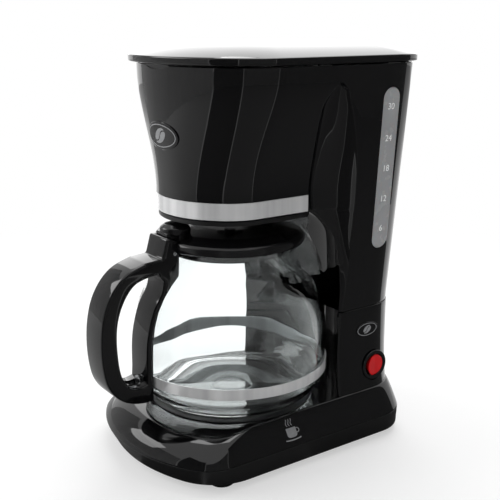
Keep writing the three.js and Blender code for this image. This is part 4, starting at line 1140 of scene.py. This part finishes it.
world = bpy.data.worlds.new("studio_tent")
bpy.context.scene.world = world
tree = bare_tree(world)
path = add(tree, "ShaderNodeLightPath").outputs
direct = add(tree, "ShaderNodeMath", {0: path["Is Camera Ray"], 1: path["Is Glossy Ray"]}, operation="ADD")
shown = add(tree, "ShaderNodeMath", {0: direct.outputs[0], 1: path["Is Transmission Ray"]},
            operation="ADD", use_clamp=True)
strength = add(tree, "ShaderNodeMapRange", {"Value": shown.outputs[0], "To Min": 0.55, "To Max": 1.0})
sky = add(tree, "ShaderNodeBackground", {"Color": shade("#FFFFFF"), "Strength": strength.outputs[0]})
add(tree, "ShaderNodeOutputWorld", {"Surface": sky.outputs[0]})


def softbox(name, place_mm, aim_mm, width, height, power):
    """an even rectangular lamp that the camera doesn't see"""
    lamp = bpy.data.lights.new(name, "AREA")
    lamp.shape = "RECTANGLE"
    lamp.size, lamp.size_y = width * MM, height * MM
    lamp.energy = power
    obj = placed(name, lamp)
    obj.location = Vector(place_mm) * MM
    obj.rotation_euler = (Vector(aim_mm) - Vector(place_mm)).to_track_quat("-Z", "Y").to_euler()
    obj.visible_camera = False


softbox("left_softbox", (-700, -800, 620), (0, 0, 150), 700, 900, 7)
softbox("top_softbox", (-200, 300, 1200), (0, 0, 150), 900, 900, 9)
softbox("back_softbox", (-950, 850, 800), (0, 0, 280), 1700, 1000, 9)


CLOTH_NEAR, CLOTH_FAR, CLOTH_LOW = 20, 1100, 0.6


def cloth_of(name, colour, start, end, top):
    """cloth on the floor and up a wall between two bearings, seen by reflections only"""
    cover = bpy.data.materials.new(name)
    tree = bare_tree(cover)
    matt = add(tree, "ShaderNodeBsdfDiffuse", {"Color": shade(colour)})
    add(tree, "ShaderNodeOutputMaterial", {"Surface": matt.outputs[0]})
    bearings = spread(math.radians(start), math.radians(end), 12)
    n = len(bearings)
    rows = ((CLOTH_NEAR, CLOTH_LOW), (CLOTH_FAR, CLOTH_LOW), (CLOTH_FAR, top))
    points = [(r * math.cos(a), r * math.sin(a), z) for r, z in rows for a in bearings]
    faces = [(j * n + k, j * n + k + 1, (j + 1) * n + k + 1, (j + 1) * n + k)
             for j in (0, 1) for k in range(n - 1)]
    obj = body_of(name, points, faces)
    obj.data.materials.append(cover)
    obj.visible_camera = obj.visible_diffuse = obj.visible_shadow = obj.visible_transmission = False


# Dark cloth on the camera's side gives the polished plastic its deep black; the greys and
# the gaps between them give it the crisp upright bands.
cloth_of("black_cloth", "#4E4E4E", -86, -47, 1500)
cloth_of("charcoal_cloth", "#747474", -45.5, 15, 1300)
cloth_of("side_cloth", "#5C5C5C", 16, 74, 1700)
cloth_of("left_cloth", "#A8A8A8", -176, -87, 900)

camera = bpy.data.cameras.new("camera")
camera.lens = 62.9
camera.sensor_width = 36
viewpoint = placed("camera", camera)
viewpoint.location = (0.5355, -0.3708, 0.3226)
viewpoint.rotation_euler = (math.radians(90 - 14.77), 0, math.radians(54.49))
bpy.context.scene.camera = viewpoint
bpy.context.scene.view_settings.view_transform = "Standard"
